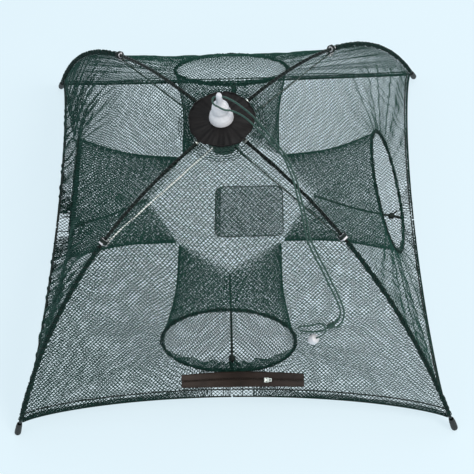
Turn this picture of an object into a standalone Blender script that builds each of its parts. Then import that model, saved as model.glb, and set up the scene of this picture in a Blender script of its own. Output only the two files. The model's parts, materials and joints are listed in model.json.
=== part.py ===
"""Folding crab trap: a square net room on an umbrella frame, with a funnel behind a hoop on each side.

Metres, +Z up, standing on z = 0 with the hub on the Z axis. The front is -Y, and ribs point at the corners.
"""

import math

import bmesh
import bpy
import numpy as np
from mathutils import Matrix, Vector

# --- driving dimensions -------------------------------------------------------------------------
RIB_REACH = 0.4605  # from the middle axis to the lower end of a rib's rod
RIB_TOP_Z = 0.329  # height of the ribs' hinge pins
RIB_END_Z = 0.006  # height of the rod's lower end
RIB_BOW = 2.65  # how suddenly the rib bends down: the power of its height curve
ROD_R = 0.00225
GAP = 0.0003  # between pieces that touch

HUB_PIN_R = 0.014  # from the axis to a rib's hinge pin
PIN_R = 0.0010
PIN_HOLE_R = PIN_R + GAP
TONGUE_WIDTH = 0.0024
SLOT_WIDTH = 0.0032
HUB_R = 0.020
HUB_LOW_Z = RIB_TOP_Z - 0.0095
HUB_HIGH_Z = RIB_TOP_Z + 0.0073
HUB_SLOT_TOP_Z = RIB_TOP_Z + 0.0042
CORD_BORE_R = 0.0019

PATCH_R = 0.0445
PATCH_THICK = 0.0010
CONE_BASE_Z = HUB_HIGH_Z + PATCH_THICK + 2 * GAP
CONE_EYE_Z = CONE_BASE_Z + 0.0455

CLIP_REACH = 0.220  # where the clip sits on the rib, from the axis
CLIP_LENGTH = 0.0075
CLIP_WIDTH = 0.0066
CLIP_DROP = 0.0078  # from the rod's middle line to the rivet
RUNNER_PIN_R = 0.0185
RUNNER_Z = 0.2915
RUNNER_R = 0.0225
RUNNER_CORE_R = 0.0046
RUNNER_HEIGHT = 0.018
WIRE_R = 0.0014  # stretcher rod
EYE_R = 0.0029  # round ends of the stretchers and tongues

NET_THICK = 0.0012
NET_DROP = 0.0040  # the net hangs this far inside the middle line of the rods
NET_EDGE_GAP = 0.0080  # from the plane of the rib to the edge of a side panel, along the side
NET_TOP_SHARE = 0.045  # share of the rib's reach where the side panels start
HEM_SHARE = 0.975  # share of the rib's reach where the hem is tied
HEM_PULL = 0.028  # how far the middle of the hem is drawn in
HEM_LIFT = 0.033  # and up

HOOP_R = 0.0935
HOOP_WIRE_R = 0.00125
HOOP_REACH = 0.2405
HOOP_Z = 0.140
HOOP_LEAN = {"front": 6, "right": 20, "back": 24, "left": 14}  # degrees that the hoop's top leans in
THROAT_HALF_WIDTH = 0.074
THROAT_HALF_HEIGHT = 0.011
THROAT_REACH = 0.084  # from the axis to the throat's corners
THROAT_NOTCH = 0.047  # how much further out the middle of each lip is drawn
THROAT_Z = 0.132
TIE_R = 0.0009

ZIP_LEFT = -0.073
ZIP_RIGHT = 0.105
ZIP_THICK = 0.0008
ZIP_DIP = 0.020  # how wide the dip in the middle of the tape is
SLIDER_X = 0.0525
TAB_HEIGHT = 0.0040  # of the pull tab's hinge above the tape
TAB_PIN_R = 0.0005

FLOOR_MIDDLE_Z = 0.010
FLOOR_CURL = 4.0  # how suddenly the floor rises to the hem
FLOOR_GAP = 0.0068  # between the hem and the floor's edge
POCKET_LOW = (-0.033, -0.003)  # corners of the bait pocket on the floor
POCKET_HIGH = (0.081, 0.094)
POCKET_CORNER_R = 0.012
POCKET_Z = FLOOR_MIDDLE_Z + NET_THICK + 2 * GAP

CORD_R = 0.0013
KNOT_R = 0.0040
KNOT_THICK = 0.0018

SIDES = ("front", "right", "back", "left")
CORNERS = ("front_right", "back_right", "back_left", "front_left")

# hand-chosen places, in millimetres, that the two strands of the pull cord pass through: from the eye in the
# cone, over the patch and the front right rib, and down the front; the first goes on through the knot
STRAND_ROUTE = (
    (-1.5, 0.0, 383.4),
    (-6.3, 0.0, 383.4),
    (-8.6, -3.2, 381.6),
    (-7.0, -7.8, 378.8),
    (-1.8, -9.8, 376.0),
    (6.5, -12.5, 372.5),
    (14.7, -11.0, 368.5),
    (24.0, -10.5, 361.0),
    (32.1, -10.5, 352.0),
    (42.6, -14.5, 341.0),
    (57.0, -27.0, 331.0),
    (71.9, -42.2, 324.0),
    (80.8, -53.7, 322.5),
    (88.1, -73.9, 321.6),
    (93.5, -93.5, 324.2),
    (96.6, -108.2, 320.0),
    (103.0, -129.1, 303.7),
    (109.0, -156.5, 286.4),
    (117.9, -173.3, 272.0),
    (128.2, -187.9, 256.6),
    (137.3, -200.9, 240.4),
    (146.7, -213.2, 222.4),
    (152.6, -222.4, 206.6),
    (151.8, -228.8, 196.2),
    (147.1, -232.8, 190.4),
    (140.7, -236.4, 186.6),
    (134.0, -238.6, 180.6),
    (126.3, -239.4, 173.8),
    (115.5, -239.2, 172.0),
    (104.6, -238.6, 172.6),
    (97.4, -237.9, 178.0),
    (98.2, -236.6, 185.6),
    (106.0, -236.4, 186.4),
    (115.3, -235.8, 186.6),
    (124.0, -234.8, 190.6),
    (130.6, -238.4, 193.0),
    (133.0, -244.0, 188.0),
    (129.5, -246.6, 178.5),
    (121.3, -246.1, 166.4),
)
KNOT_AT = 25  # which of those places is the middle of the knot
SECOND_STRAND_ROUTE = (
    (1.5, 0.0, 383.4),
    (5.5, 0.0, 383.4),
    (10.0, -0.5, 381.8),
    (15.5, -1.0, 377.5),
    (22.0, -1.6, 371.5),
    (30.0, -2.5, 362.0),
    (38.0, -3.5, 351.5),
    (46.0, -6.5, 341.5),
    (60.0, -20.5, 331.5),
    (75.5, -38.5, 323.9),
    (84.2, -51.6, 322.2),
    (92.3, -73.5, 320.6),
    (97.7, -93.5, 323.8),
    (100.5, -107.8, 319.5),
    (107.2, -128.8, 303.7),
    (113.3, -155.8, 286.8),
    (122.3, -172.1, 272.8),
    (132.6, -186.7, 257.5),
    (141.8, -199.8, 241.4),
    (151.2, -212.4, 223.4),
    (157.4, -223.2, 206.6),
    (157.0, -230.6, 194.8),
    (152.0, -236.4, 188.2),
    (147.4, -239.6, 185.6),
)


# --- scene and objects --------------------------------------------------------------------------
def clear_scene():
    for old in list(bpy.data.objects):
        bpy.data.objects.remove(old, do_unlink=True)


def material(name, colour, roughness, metallic=0.0):
    made = bpy.data.materials.get(name)
    if made is None:
        made = bpy.data.materials.new(name)
        made.use_nodes = True
        shader = made.node_tree.nodes["Principled BSDF"]
        shader.inputs["Base Color"].default_value = (*colour, 1.0)
        shader.inputs["Roughness"].default_value = roughness
        shader.inputs["Metallic"].default_value = metallic
    return made


def fibreglass():
    return material("fibreglass_rod", (0.015, 0.025, 0.022), 0.3)


def white_plastic():
    return material("white_plastic", (0.85, 0.85, 0.86), 0.35)


def steel():
    return material("steel", (0.70, 0.71, 0.72), 0.25, 1.0)


def rubber():
    return material("rubber", (0.02, 0.02, 0.022), 0.6)


def net_green():
    return material("green_netting", (0.02, 0.10, 0.08), 0.7)


def cord_green():
    return material("green_cord", (0.01, 0.16, 0.10), 0.6)


def black_fabric():
    return material("black_fabric", (0.02, 0.018, 0.018), 0.8)


def brown_tape():
    return material("brown_tape", (0.07, 0.035, 0.025), 0.75)


def place(name, mesh, look, matrix=None):
    made = bpy.data.objects.new(name, mesh)
    bpy.context.scene.collection.objects.link(made)
    mesh.materials.clear()
    mesh.materials.append(look)
    if matrix is not None:
        made.matrix_world = matrix
    return made


def smooth(mesh, degrees=35):
    mesh.shade_smooth()
    mesh.set_sharp_from_angle(angle=math.radians(degrees))
    return mesh


# --- shapes -------------------------------------------------------------------------------------
def mesh_from(name, points, faces):
    mesh = bpy.data.meshes.new(name)
    mesh.from_pydata([tuple(p) for p in points], [], faces)
    mesh.update()
    return mesh


def outward(mesh):
    work = bmesh.new()
    work.from_mesh(mesh)
    bmesh.ops.recalc_face_normals(work, faces=work.faces[:])
    work.to_mesh(mesh)
    work.free()
    return mesh


def turned(name, profile, sides):
    """A solid turned about Z from a closed outline of (radius, height) points; radius 0 is on the axis."""
    points, rings = [], []
    for radius, height in profile:
        if radius == 0:
            rings.append([len(points)] * sides)
            points.append((0.0, 0.0, height))
            continue
        rings.append(list(range(len(points), len(points) + sides)))
        for k in range(sides):
            turn = 2 * math.pi * k / sides
            points.append((radius * math.cos(turn), radius * math.sin(turn), height))
    faces = []
    for here, after in zip(rings, rings[1:] + rings[:1]):
        for k in range(sides):
            near = (k + 1) % sides
            corner = [here[k], here[near], after[near], after[k]]
            face = list(dict.fromkeys(corner))
            if len(face) > 2:
                faces.append(face)
    return outward(mesh_from(name, points, faces))


def box_mesh(name, low, high):
    work = bmesh.new()
    bmesh.ops.create_cube(work, size=1.0)
    size = Vector(high) - Vector(low)
    middle = (Vector(high) + Vector(low)) / 2
    stretched = Matrix.Translation(middle) @ Matrix.Diagonal((*size, 1))
    bmesh.ops.transform(work, matrix=stretched, verts=work.verts)
    mesh = bpy.data.meshes.new(name)
    work.to_mesh(mesh)
    work.free()
    return mesh


def rod_mesh(name, radius, low, high, axis, sides=12):
    """A round bar along one of the axes x, y or z, from low to high on it."""
    mesh = turned(name, [(0, low), (radius, low), (radius, high), (0, high)], sides)
    turn = {"x": Matrix.Rotation(math.pi / 2, 4, "Y"), "y": Matrix.Rotation(-math.pi / 2, 4, "X"), "z": Matrix()}
    mesh.transform(turn[axis])
    return mesh


def carved(name, base, cuts=(), joins=()):
    """The mesh of base with the meshes in joins added and those in cuts taken away."""
    look = white_plastic()
    body = place(name + "_blank", base, look)
    tools = []
    for operation, meshes in (("UNION", joins), ("DIFFERENCE", cuts)):
        for mesh in meshes:
            tool = place(name + "_tool", mesh, look)
            step = body.modifiers.new(operation, "BOOLEAN")
            step.operation = operation
            step.object = tool
            tools.append(tool)
    bpy.context.view_layer.update()
    seen = body.evaluated_get(bpy.context.evaluated_depsgraph_get())
    mesh = bpy.data.meshes.new_from_object(seen)
    for done in [body, *tools]:
        bpy.data.objects.remove(done, do_unlink=True)
    return mesh


def thick_sheet(name, grid, thick, cyclic=False):
    """A closed sheet of that thickness on a grid of points; a cyclic grid closes along its first direction."""
    grid = np.asarray(grid, float)
    rows, columns, _ = grid.shape
    along = np.gradient(grid, axis=0)
    if cyclic:
        along = np.roll(grid, -1, axis=0) - np.roll(grid, 1, axis=0)
    across = np.gradient(grid, axis=1)
    normal = np.cross(along, across)
    normal /= np.linalg.norm(normal, axis=2, keepdims=True)
    points = np.concatenate([(grid + side * normal * thick / 2).reshape(-1, 3) for side in (1, -1)])

    def corner(layer, row, column):
        return layer * rows * columns + (row % rows) * columns + column

    faces = []
    for row in range(rows if cyclic else rows - 1):
        for column in range(columns - 1):
            for layer in (0, 1):
                at = [(row, column), (row + 1, column), (row + 1, column + 1), (row, column + 1)]
                a, b, c, d = [corner(layer, *place_in) for place_in in at]
                halves = [[a, b, c], [a, c, d]]
                faces += halves if layer == 0 else [half[::-1] for half in halves]
        for column in (0, columns - 1):
            faces.append([corner(0, row, column), corner(1, row, column)]
                         + [corner(1, row + 1, column), corner(0, row + 1, column)])
    if not cyclic:
        for row in (0, rows - 1):
            for column in range(columns - 1):
                faces.append([corner(0, row, column), corner(0, row, column + 1)]
                             + [corner(1, row, column + 1), corner(1, row, column)])
    return outward(mesh_from(name, points, faces))


def line_object(name, points, radius, look, cyclic=False, resolution=2):
    """A round bar that follows points: a rod, a wire or a cord."""
    curve = bpy.data.curves.new(name, "CURVE")
    curve.dimensions = "3D"
    curve.bevel_depth = radius
    curve.bevel_resolution = resolution
    curve.render_resolution_u = 0
    curve.use_fill_caps = not cyclic
    spline = curve.splines.new("POLY")
    spline.points.add(len(points) - 1)
    for point, place_at in zip(spline.points, points):
        point.co = (*place_at, 1.0)
    spline.use_cyclic_u = cyclic
    spline.use_smooth = True
    made = bpy.data.objects.new(name, curve)
    bpy.context.scene.collection.objects.link(made)
    curve.materials.append(look)
    return made


# --- the frame's geometry -----------------------------------------------------------------------
def corner_turn(corner):
    """The turn about Z that takes the +X direction to this rib's direction."""
    return Matrix.Rotation(math.radians(-45 + 90 * CORNERS.index(corner)), 4, "Z")


def side_turn(side):
    """The turn about Z that takes the front side to this side."""
    return Matrix.Rotation(math.radians(90 * SIDES.index(side)), 4, "Z")


def rib_share(reach):
    return (reach - HUB_PIN_R) / (RIB_REACH - HUB_PIN_R)


def rib_point(share, drop=0.0):
    """(reach, height) on a rib's middle line, or that far inside it."""
    reach = HUB_PIN_R + (RIB_REACH - HUB_PIN_R) * share
    height = RIB_TOP_Z - (RIB_TOP_Z - RIB_END_Z) * share**RIB_BOW
    if drop:
        out, down = rib_direction(share)
        reach, height = reach + down * drop, height - out * drop
    return np.array((reach, height))


def rib_direction(share):
    """Unit (reach, height) direction down the rib."""
    fall = -(RIB_TOP_Z - RIB_END_Z) * RIB_BOW * share ** (RIB_BOW - 1) / (RIB_REACH - HUB_PIN_R)
    return np.array((1.0, fall)) / math.hypot(1.0, fall)


def clip_pivot():
    """(reach, height) of the rivet under a clip."""
    share = rib_share(CLIP_REACH)
    return rib_point(share, CLIP_DROP)


# --- hub and runner -----------------------------------------------------------------------------
def slots(name, width, inner, outer, low, high):
    """Four radial slots, one for each rib."""
    cuts = []
    for corner in CORNERS:
        cut = box_mesh(name, (inner, -width / 2, low), (outer, width / 2, high))
        cut.transform(corner_turn(corner))
        cuts.append(cut)
    return cuts


def make_hub_body():
    ring = [(CORD_BORE_R, HUB_LOW_Z), (HUB_R - 0.001, HUB_LOW_Z), (HUB_R, HUB_LOW_Z + 0.001)]
    ring += [(HUB_R, HUB_HIGH_Z - 0.001), (HUB_R - 0.001, HUB_HIGH_Z), (CORD_BORE_R, HUB_HIGH_Z)]
    cuts = slots("slot", SLOT_WIDTH, 0.0062, HUB_R * 1.5, HUB_LOW_Z - 0.01, HUB_SLOT_TOP_Z)
    for corner in CORNERS:
        hole = rod_mesh("hole", PIN_HOLE_R, -0.0072, 0.0072, "y", 8)
        hole.transform(corner_turn(corner) @ Matrix.Translation((HUB_PIN_R, 0, RIB_TOP_Z)))
        cuts.append(hole)
    place("hub_body", smooth(carved("hub_body", turned("hub", ring, 24), cuts)), white_plastic())


def make_hub_pins():
    for corner in CORNERS:
        mesh = smooth(rod_mesh("hub_pin", PIN_R, -0.0066, 0.0066, "y", 8))
        at = corner_turn(corner) @ Matrix.Translation((HUB_PIN_R, 0, RIB_TOP_Z))
        place("hub_pin_" + corner, mesh, steel(), at)


def make_hub_patch():
    middle = HUB_HIGH_Z + GAP + PATCH_THICK / 2
    low, high = middle - PATCH_THICK / 2, middle + PATCH_THICK / 2
    outline = [(0.004, low), (PATCH_R, low), (PATCH_R, high), (0.004, high)]
    place("hub_patch", turned("patch", outline, 32), black_fabric())


def make_hub_cone():
    outer = [(0.0150, 0), (0.0165, 0.0015), (0.0162, 0.0050), (0.0148, 0.0100), (0.0126, 0.0140)]
    outer += [(0.0115, 0.0165), (0.0118, 0.0215), (0.0108, 0.0265), (0.0082, 0.0305), (0.0056, 0.0330)]
    outer += [(0.0045, 0.0365), (0.0042, 0.0420), (0.0040, 0.0480), (0.0028, 0.0512), (0, 0.0525)]
    bore = [(0, 0.0380), (CORD_BORE_R, 0.0380), (CORD_BORE_R, 0)]
    profile = [(r, CONE_BASE_Z + z) for r, z in outer + bore]
    eye = rod_mesh("eye", CORD_R + 0.0008, -0.02, 0.02, "x", 10)
    eye.transform(Matrix.Translation((0, 0, CONE_EYE_Z)))
    place("hub_cone", smooth(carved("hub_cone", turned("cone", profile, 20), [eye]), 50), white_plastic())


def make_runner():
    low, high = RUNNER_Z - RUNNER_HEIGHT / 2, RUNNER_Z + RUNNER_HEIGHT / 2
    ring = [(CORD_BORE_R, low), (RUNNER_R - 0.001, low), (RUNNER_R, low + 0.001)]
    ring += [(RUNNER_R, high - 0.001), (RUNNER_R - 0.001, high), (CORD_BORE_R, high)]
    cuts = slots("slot", SLOT_WIDTH, RUNNER_CORE_R, RUNNER_R * 1.5, low - 0.01, high + 0.01)
    place("runner", smooth(carved("runner", turned("runner", ring, 24), cuts)), white_plastic())


# --- ribs and stretchers ------------------------------------------------------------------------
SOCKET_START = 0.0285
SOCKET_END = 0.0480
ROD_START = SOCKET_START + 0.003
CAP_R = 0.0050
CAP_CUP = 0.020  # how far the cap reaches up the rod


def make_ribs():
    shares = np.linspace(rib_share(ROD_START), 1.0, 18)
    profile = [rib_point(share) for share in shares]
    for corner in CORNERS:
        turn = corner_turn(corner)
        route = [turn @ Vector((reach, 0, height)) for reach, height in profile]
        line_object("rib_rod_" + corner, route, ROD_R, fibreglass())


def tongue_mesh():
    """The metal end of a rib: a flat tongue with an eye at the origin, and a socket for the rod along +X."""
    half = TONGUE_WIDTH / 2
    socket = turned(
        "socket",
        [(0, SOCKET_START - HUB_PIN_R), (ROD_R + 0.0013, SOCKET_START - HUB_PIN_R)]
        + [(ROD_R + 0.0013, SOCKET_END - HUB_PIN_R), (ROD_R + 2 * GAP, SOCKET_END - HUB_PIN_R)]
        + [(ROD_R + 2 * GAP, ROD_START - GAP - HUB_PIN_R), (0, ROD_START - GAP - HUB_PIN_R)],
        12,
    )
    socket.transform(Matrix.Rotation(math.pi / 2, 4, "Y"))
    bar = box_mesh("bar", (-0.0004, -half, -0.0024), (SOCKET_START - HUB_PIN_R + 0.0010, half, 0.0024))
    end = rod_mesh("end", EYE_R, -half, half, "y")
    hole = rod_mesh("hole", PIN_HOLE_R, -0.01, 0.01, "y", 8)
    return smooth(carved("tongue", socket, [hole], [bar, end]))


def make_rib_tongues():
    mesh = tongue_mesh()
    for corner in CORNERS:
        at = corner_turn(corner) @ Matrix.Translation((HUB_PIN_R, 0, RIB_TOP_Z))
        place("rib_tongue_" + corner, mesh.copy(), steel(), at)


def along_rib(share):
    """The frame at that share of a rib: +X down the rod, +Z outwards from its bow."""
    out, down = rib_direction(share)
    reach, height = rib_point(share)
    frame = Matrix(((out, 0, -down, reach), (0, 1, 0, 0), (down, 0, out, height), (0, 0, 0, 1)))
    return frame


def clip_mesh():
    half = CLIP_LENGTH / 2
    wide = CLIP_WIDTH / 2
    body = box_mesh("body", (-half, -wide, -CLIP_DROP - 0.0032), (half, wide, ROD_R + 0.0014))
    bore = rod_mesh("bore", ROD_R + GAP, -0.02, 0.02, "x", 12)
    fork = box_mesh("fork", (-0.02, -SLOT_WIDTH / 2, -0.03), (0.02, SLOT_WIDTH / 2, -ROD_R - 0.0013))
    hole = rod_mesh("hole", PIN_HOLE_R, -0.01, 0.01, "y", 8)
    hole.transform(Matrix.Translation((0, 0, -CLIP_DROP)))
    return smooth(carved("clip", body, [bore, fork, hole]))


def make_clips():
    mesh = clip_mesh()
    head_in = CLIP_WIDTH / 2 + GAP
    head_out = head_in + 0.0007
    outline = [(0, -head_out), (0.0016, -head_out), (0.0016, -head_in), (PIN_R, -head_in)]
    outline += [(PIN_R, head_in), (0.0016, head_in), (0.0016, head_out), (0, head_out)]
    rivet = turned("rivet", outline, 8)
    rivet.transform(Matrix.Rotation(math.pi / 2, 4, "X"))
    frame = along_rib(rib_share(CLIP_REACH))
    for corner in CORNERS:
        place("rib_clip_" + corner, mesh.copy(), white_plastic(), corner_turn(corner) @ frame)
        at = corner_turn(corner) @ frame @ Matrix.Translation((0, 0, -CLIP_DROP))
        place("clip_rivet_" + corner, smooth(rivet.copy()), steel(), at)


def make_feet():
    cup = ROD_R + 2 * GAP
    outline = [(cup, -CAP_CUP), (CAP_R - 0.0012, -CAP_CUP)]
    outline += [(CAP_R - 0.0004, -CAP_CUP * 0.7), (CAP_R, -0.002)]
    outline += [(CAP_R * math.cos(a), 0.0022 + CAP_R * math.sin(a)) for a in (0, 0.45, 0.9, 1.25)]
    outline += [(0, 0.0022 + CAP_R), (0, GAP), (cup, GAP)]
    for corner in CORNERS:
        mesh = turned("foot", outline, 12)
        tip = along_rib(1.0) @ Matrix.Rotation(math.pi / 2, 4, "Y")
        mesh.transform(corner_turn(corner) @ tip)
        work = bmesh.new()
        work.from_mesh(mesh)
        everything = work.verts[:] + work.edges[:] + work.faces[:]
        ground = {"plane_co": (0, 0, 0), "plane_no": (0, 0, -1)}
        cut = bmesh.ops.bisect_plane(work, geom=everything, clear_outer=True, **ground)
        edges = [part for part in cut["geom_cut"] if isinstance(part, bmesh.types.BMEdge)]
        bmesh.ops.contextual_create(work, geom=edges)
        work.to_mesh(mesh)
        work.free()
        place("foot_" + corner, smooth(outward(mesh)), rubber())


def make_stretchers():
    reach, height = clip_pivot()
    length = math.hypot(reach - RUNNER_PIN_R, height - RUNNER_Z)
    rise = math.atan2(RUNNER_Z - height, reach - RUNNER_PIN_R)
    half = TONGUE_WIDTH / 2
    bar = rod_mesh("bar", WIRE_R - 0.0002, 0.001, length - 0.001, "x", 8)
    ends, holes = [], []
    for at in (0, length):
        end = rod_mesh("end", EYE_R, -half, half, "y")
        hole = rod_mesh("hole", PIN_HOLE_R, -0.01, 0.01, "y", 8)
        for mesh in (end, hole):
            mesh.transform(Matrix.Translation((at, 0, 0)))
        ends.append(end)
        holes.append(hole)
    mesh = smooth(carved("stretcher", bar, holes, ends))
    for corner in CORNERS:
        at = Matrix.Translation((reach, 0, height)) @ Matrix.Rotation(math.pi + rise, 4, "Y")
        place("stretcher_" + corner, mesh.copy(), steel(), corner_turn(corner) @ at)


# --- net ----------------------------------------------------------------------------------------
def side_point(across, share):
    """On the front side's cloth before the hoop pulls it: across is -1 to 1 between the ribs."""
    reach, height = rib_point(share, NET_DROP)
    half = reach / math.sqrt(2)
    sag = max(0.0, 1 - across * across) ** 0.75
    out = half - HEM_PULL * share**1.5 * sag
    return Vector((across * half, -out, height + HEM_LIFT * share**5 * sag))


def hoop_frame(side):
    """Middle of the front hoop if it had this side's lean, and its directions up and outwards."""
    lean = math.radians(HOOP_LEAN[side])
    up = Vector((0, math.sin(lean), math.cos(lean)))
    out = Vector((0, -math.cos(lean), math.sin(lean)))
    return Vector((0, -HOOP_REACH, HOOP_Z)), up, out


def hoop_circle(side, radius, inset, count):
    middle, up, out = hoop_frame(side)
    found = []
    for k in range(count):
        turn = 2 * math.pi * k / count
        around = Vector((1, 0, 0)) * math.cos(turn) + up * math.sin(turn)
        found.append(middle - out * inset + around * radius)
    return found


def hoop_place(side, spot):
    """(across, share) of the place on the unpulled cloth that is as high and as far along as spot."""
    shares = np.linspace(NET_TOP_SHARE, 1.0, 200)
    across = 0.0
    for _ in range(6):
        heights = [side_point(across, share).z for share in shares]
        share = float(np.interp(-spot.z, [-height for height in heights], shares))
        across = spot.x / side_point(1.0, share).x
    return across, share


def side_outline():
    """(across, share) points round the edge of the front side: up the right rib, over, down, and along the hem."""
    rise = [float(share) for share in np.linspace(HEM_SHARE, NET_TOP_SHARE, 12)]
    middle, _, _ = hoop_frame("front")
    drop = (HEM_SHARE - hoop_place("front", middle)[1]) * RIB_REACH
    half = side_point(1.0, HEM_SHARE).x
    corner = math.atan2(drop, half)
    found = [(1.0, share) for share in rise] + [(0.0, NET_TOP_SHARE)] + [(-1.0, share) for share in rise[::-1]]
    for turn in np.linspace(math.pi - corner, corner, 13)[1:-1]:
        found.append((drop / math.tan(turn) / half, HEM_SHARE))
    return found


def cloth_point(side, turn, edge, part):
    """On a side's cloth between the hoop's hole (part 0) at that turn and a place on its outline (part 1)."""
    middle, up, _ = hoop_frame(side)
    hole = HOOP_R + HOOP_WIRE_R + 0.0012
    ring = middle + Vector((hole * math.cos(turn), 0, 0)) + up * hole * math.sin(turn)
    across, share = hoop_place(side, ring)
    start = side_point(across, share)
    spot = side_point(across + (edge[0] - across) * part, share + (edge[1] - share) * part)
    return spot + (ring - start) * (1 - part) ** 2


def edge_turn(side, edge):
    """The turn round the hoop's middle of the line out to a place on the outline."""
    middle, up, _ = hoop_frame(side)
    across, share = hoop_place(side, middle)
    along = side_point(edge[0], edge[1]).x - side_point(across, share).x
    rise = (share - edge[1]) * RIB_REACH
    return math.atan2(rise, along)


def panel_grid(side):
    """Points from the hoop's hole out to the edge of a side, for every point of its outline."""
    rows = []
    for edge in side_outline():
        turn = edge_turn(side, edge)
        row = [cloth_point(side, turn, edge, float(part)) for part in np.linspace(0, 1, 5)]
        row[-1].x -= math.copysign(min(abs(row[-1].x), NET_EDGE_GAP), row[-1].x) * abs(edge[0])
        rows.append(row)
    return rows


def make_sides():
    for side in SIDES:
        mesh = thick_sheet("net", panel_grid(side), NET_THICK, cyclic=True)
        mesh.transform(side_turn(side))
        place("net_" + side, mesh, net_green())


def make_hoops():
    for side in SIDES:
        circle = [side_turn(side) @ spot for spot in hoop_circle(side, HOOP_R, 0, 32)]
        line_object("hoop_" + side, circle, HOOP_WIRE_R, fibreglass(), cyclic=True, resolution=0)


def throat_point(turn):
    """On the throat of the front funnel: a flat slot whose lips are drawn out in the middle."""
    wide = math.copysign(abs(math.cos(turn)) ** 0.8, math.cos(turn))
    x = THROAT_HALF_WIDTH * wide
    out = THROAT_REACH + THROAT_NOTCH * (1 - abs(wide)) ** 1.1
    return Vector((x, -out, THROAT_Z + THROAT_HALF_HEIGHT * math.sin(turn)))


def make_funnels():
    count = 26
    for side in SIDES:
        mouth = hoop_circle(side, HOOP_R - 0.0012, HOOP_WIRE_R + 0.0014, count)
        rows = []
        for k, spot in enumerate(mouth):
            throat = throat_point(2 * math.pi * k / count)
            row = []
            for part in np.linspace(0, 1, 5):
                row.append(spot.lerp(throat, float(part)))
            rows.append(row)
        mesh = thick_sheet("funnel", rows, NET_THICK, cyclic=True)
        mesh.transform(side_turn(side))
        place("funnel_" + side, mesh, net_green())


def make_ties():
    for side in SIDES:
        middle, up, out = hoop_frame(side)
        start = Vector((0, -THROAT_REACH - THROAT_NOTCH + 0.003, THROAT_Z))
        end = middle - up * (HOOP_R - 0.014) - out * 0.006
        route = []
        for part in np.linspace(0, 1, 7):
            spot = start.lerp(end, float(part))
            spot.z -= 0.002 * math.sin(math.pi * part)
            route.append(side_turn(side) @ spot)
        line_object("tie_" + side, route, TIE_R, cord_green(), resolution=1)


def zip_edges(x):
    """The tape's edge by the hoop and its edge by the hem, at a place along the front; it dips in the middle."""
    rise = math.hypot(x, ZIP_DIP) - ZIP_DIP
    inner = Vector((x, -0.2552 - 0.165 * rise, 0.0503 + 0.43 * rise))
    outer = Vector((x, -0.2764 - 0.085 * rise, 0.0535 + 0.22 * rise))
    return inner, outer


def make_zip_tape():
    rows = []
    for x in np.linspace(ZIP_LEFT, ZIP_RIGHT, 15):
        inner, outer = zip_edges(float(x))
        rows.append([outer, inner.lerp(outer, 0.5), inner])
    place("zip_tape", thick_sheet("tape", rows, ZIP_THICK), brown_tape())


def slider_frame():
    """On top of the tape under the slider: +X along the tape, +Y across it, +Z off it."""
    before, here, after = (zip_edges(SLIDER_X + step) for step in (-0.002, 0, 0.002))
    along = ((after[0] + after[1]) - (before[0] + before[1])).normalized()
    across = (here[0] - here[1]).normalized()
    off = along.cross(across).normalized()
    across = off.cross(along)
    middle = here[0].lerp(here[1], 0.5) + off * (ZIP_THICK / 2 + 2 * GAP)
    return Matrix.Translation(middle) @ Matrix((along, across, off)).transposed().to_4x4()


def make_zip_slider():
    body = box_mesh("body", (-0.0042, -0.0034, 0), (0.0030, 0.0034, 0.0024))
    cheeks, holes = [], []
    for side in (-1, 1):
        ends = sorted((side * 0.0018, side * 0.0031))
        cheeks.append(box_mesh("cheek", (-0.0030, ends[0], 0.0015), (0, ends[1], TAB_HEIGHT + 0.0014)))
    hole = rod_mesh("hole", TAB_PIN_R + GAP, -0.01, 0.01, "y", 8)
    hole.transform(Matrix.Translation((-0.0015, 0, TAB_HEIGHT)))
    holes.append(hole)
    place("zip_slider", smooth(carved("slider", body, holes, cheeks)), steel(), slider_frame())


def make_zip_tab():
    barrel = rod_mesh("barrel", 0.0009, -0.0014, 0.0014, "y", 10)
    pins = rod_mesh("pins", TAB_PIN_R, -0.0028, 0.0028, "y", 8)
    neck = box_mesh("neck", (0.0003, -0.0013, -0.0004), (0.0040, 0.0013, 0.0004))
    plate = box_mesh("plate", (0.0034, -0.0024, -0.0004), (0.0095, 0.0024, 0.0004))
    hole = box_mesh("hole", (0.0058, -0.0011, -0.01), (0.0080, 0.0011, 0.01))
    at = slider_frame() @ Matrix.Translation((-0.0015, 0, TAB_HEIGHT))
    place("zip_tab", smooth(carved("tab", barrel, [hole], [pins, neck, plate])), steel(), at)


def smooth_route(places, step):
    """A smooth line through the places, in metres, with a point at about every step."""
    spots = [Vector(spot) / 1000 for spot in places]
    spots = [spots[0] * 2 - spots[1], *spots, spots[-1] * 2 - spots[-2]]
    fine = []
    for a, b, c, d in zip(spots, spots[1:], spots[2:], spots[3:]):
        for k in range(12):
            t = k / 12
            fine.append((b * 2 + (c - a) * t + (a * 2 - b * 5 + c * 4 - d) * t * t
                         + (b * 3 - a - c * 3 + d) * t * t * t) / 2)
    fine.append(spots[-2])
    lengths = np.array([0.0] + [(q - p).length for p, q in zip(fine, fine[1:])]).cumsum()
    count = max(2, round(lengths[-1] / step))
    even = np.linspace(0, lengths[-1], count + 1)
    return [Vector([float(np.interp(at, lengths, [p[k] for p in fine])) for k in range(3)]) for at in even]


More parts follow.
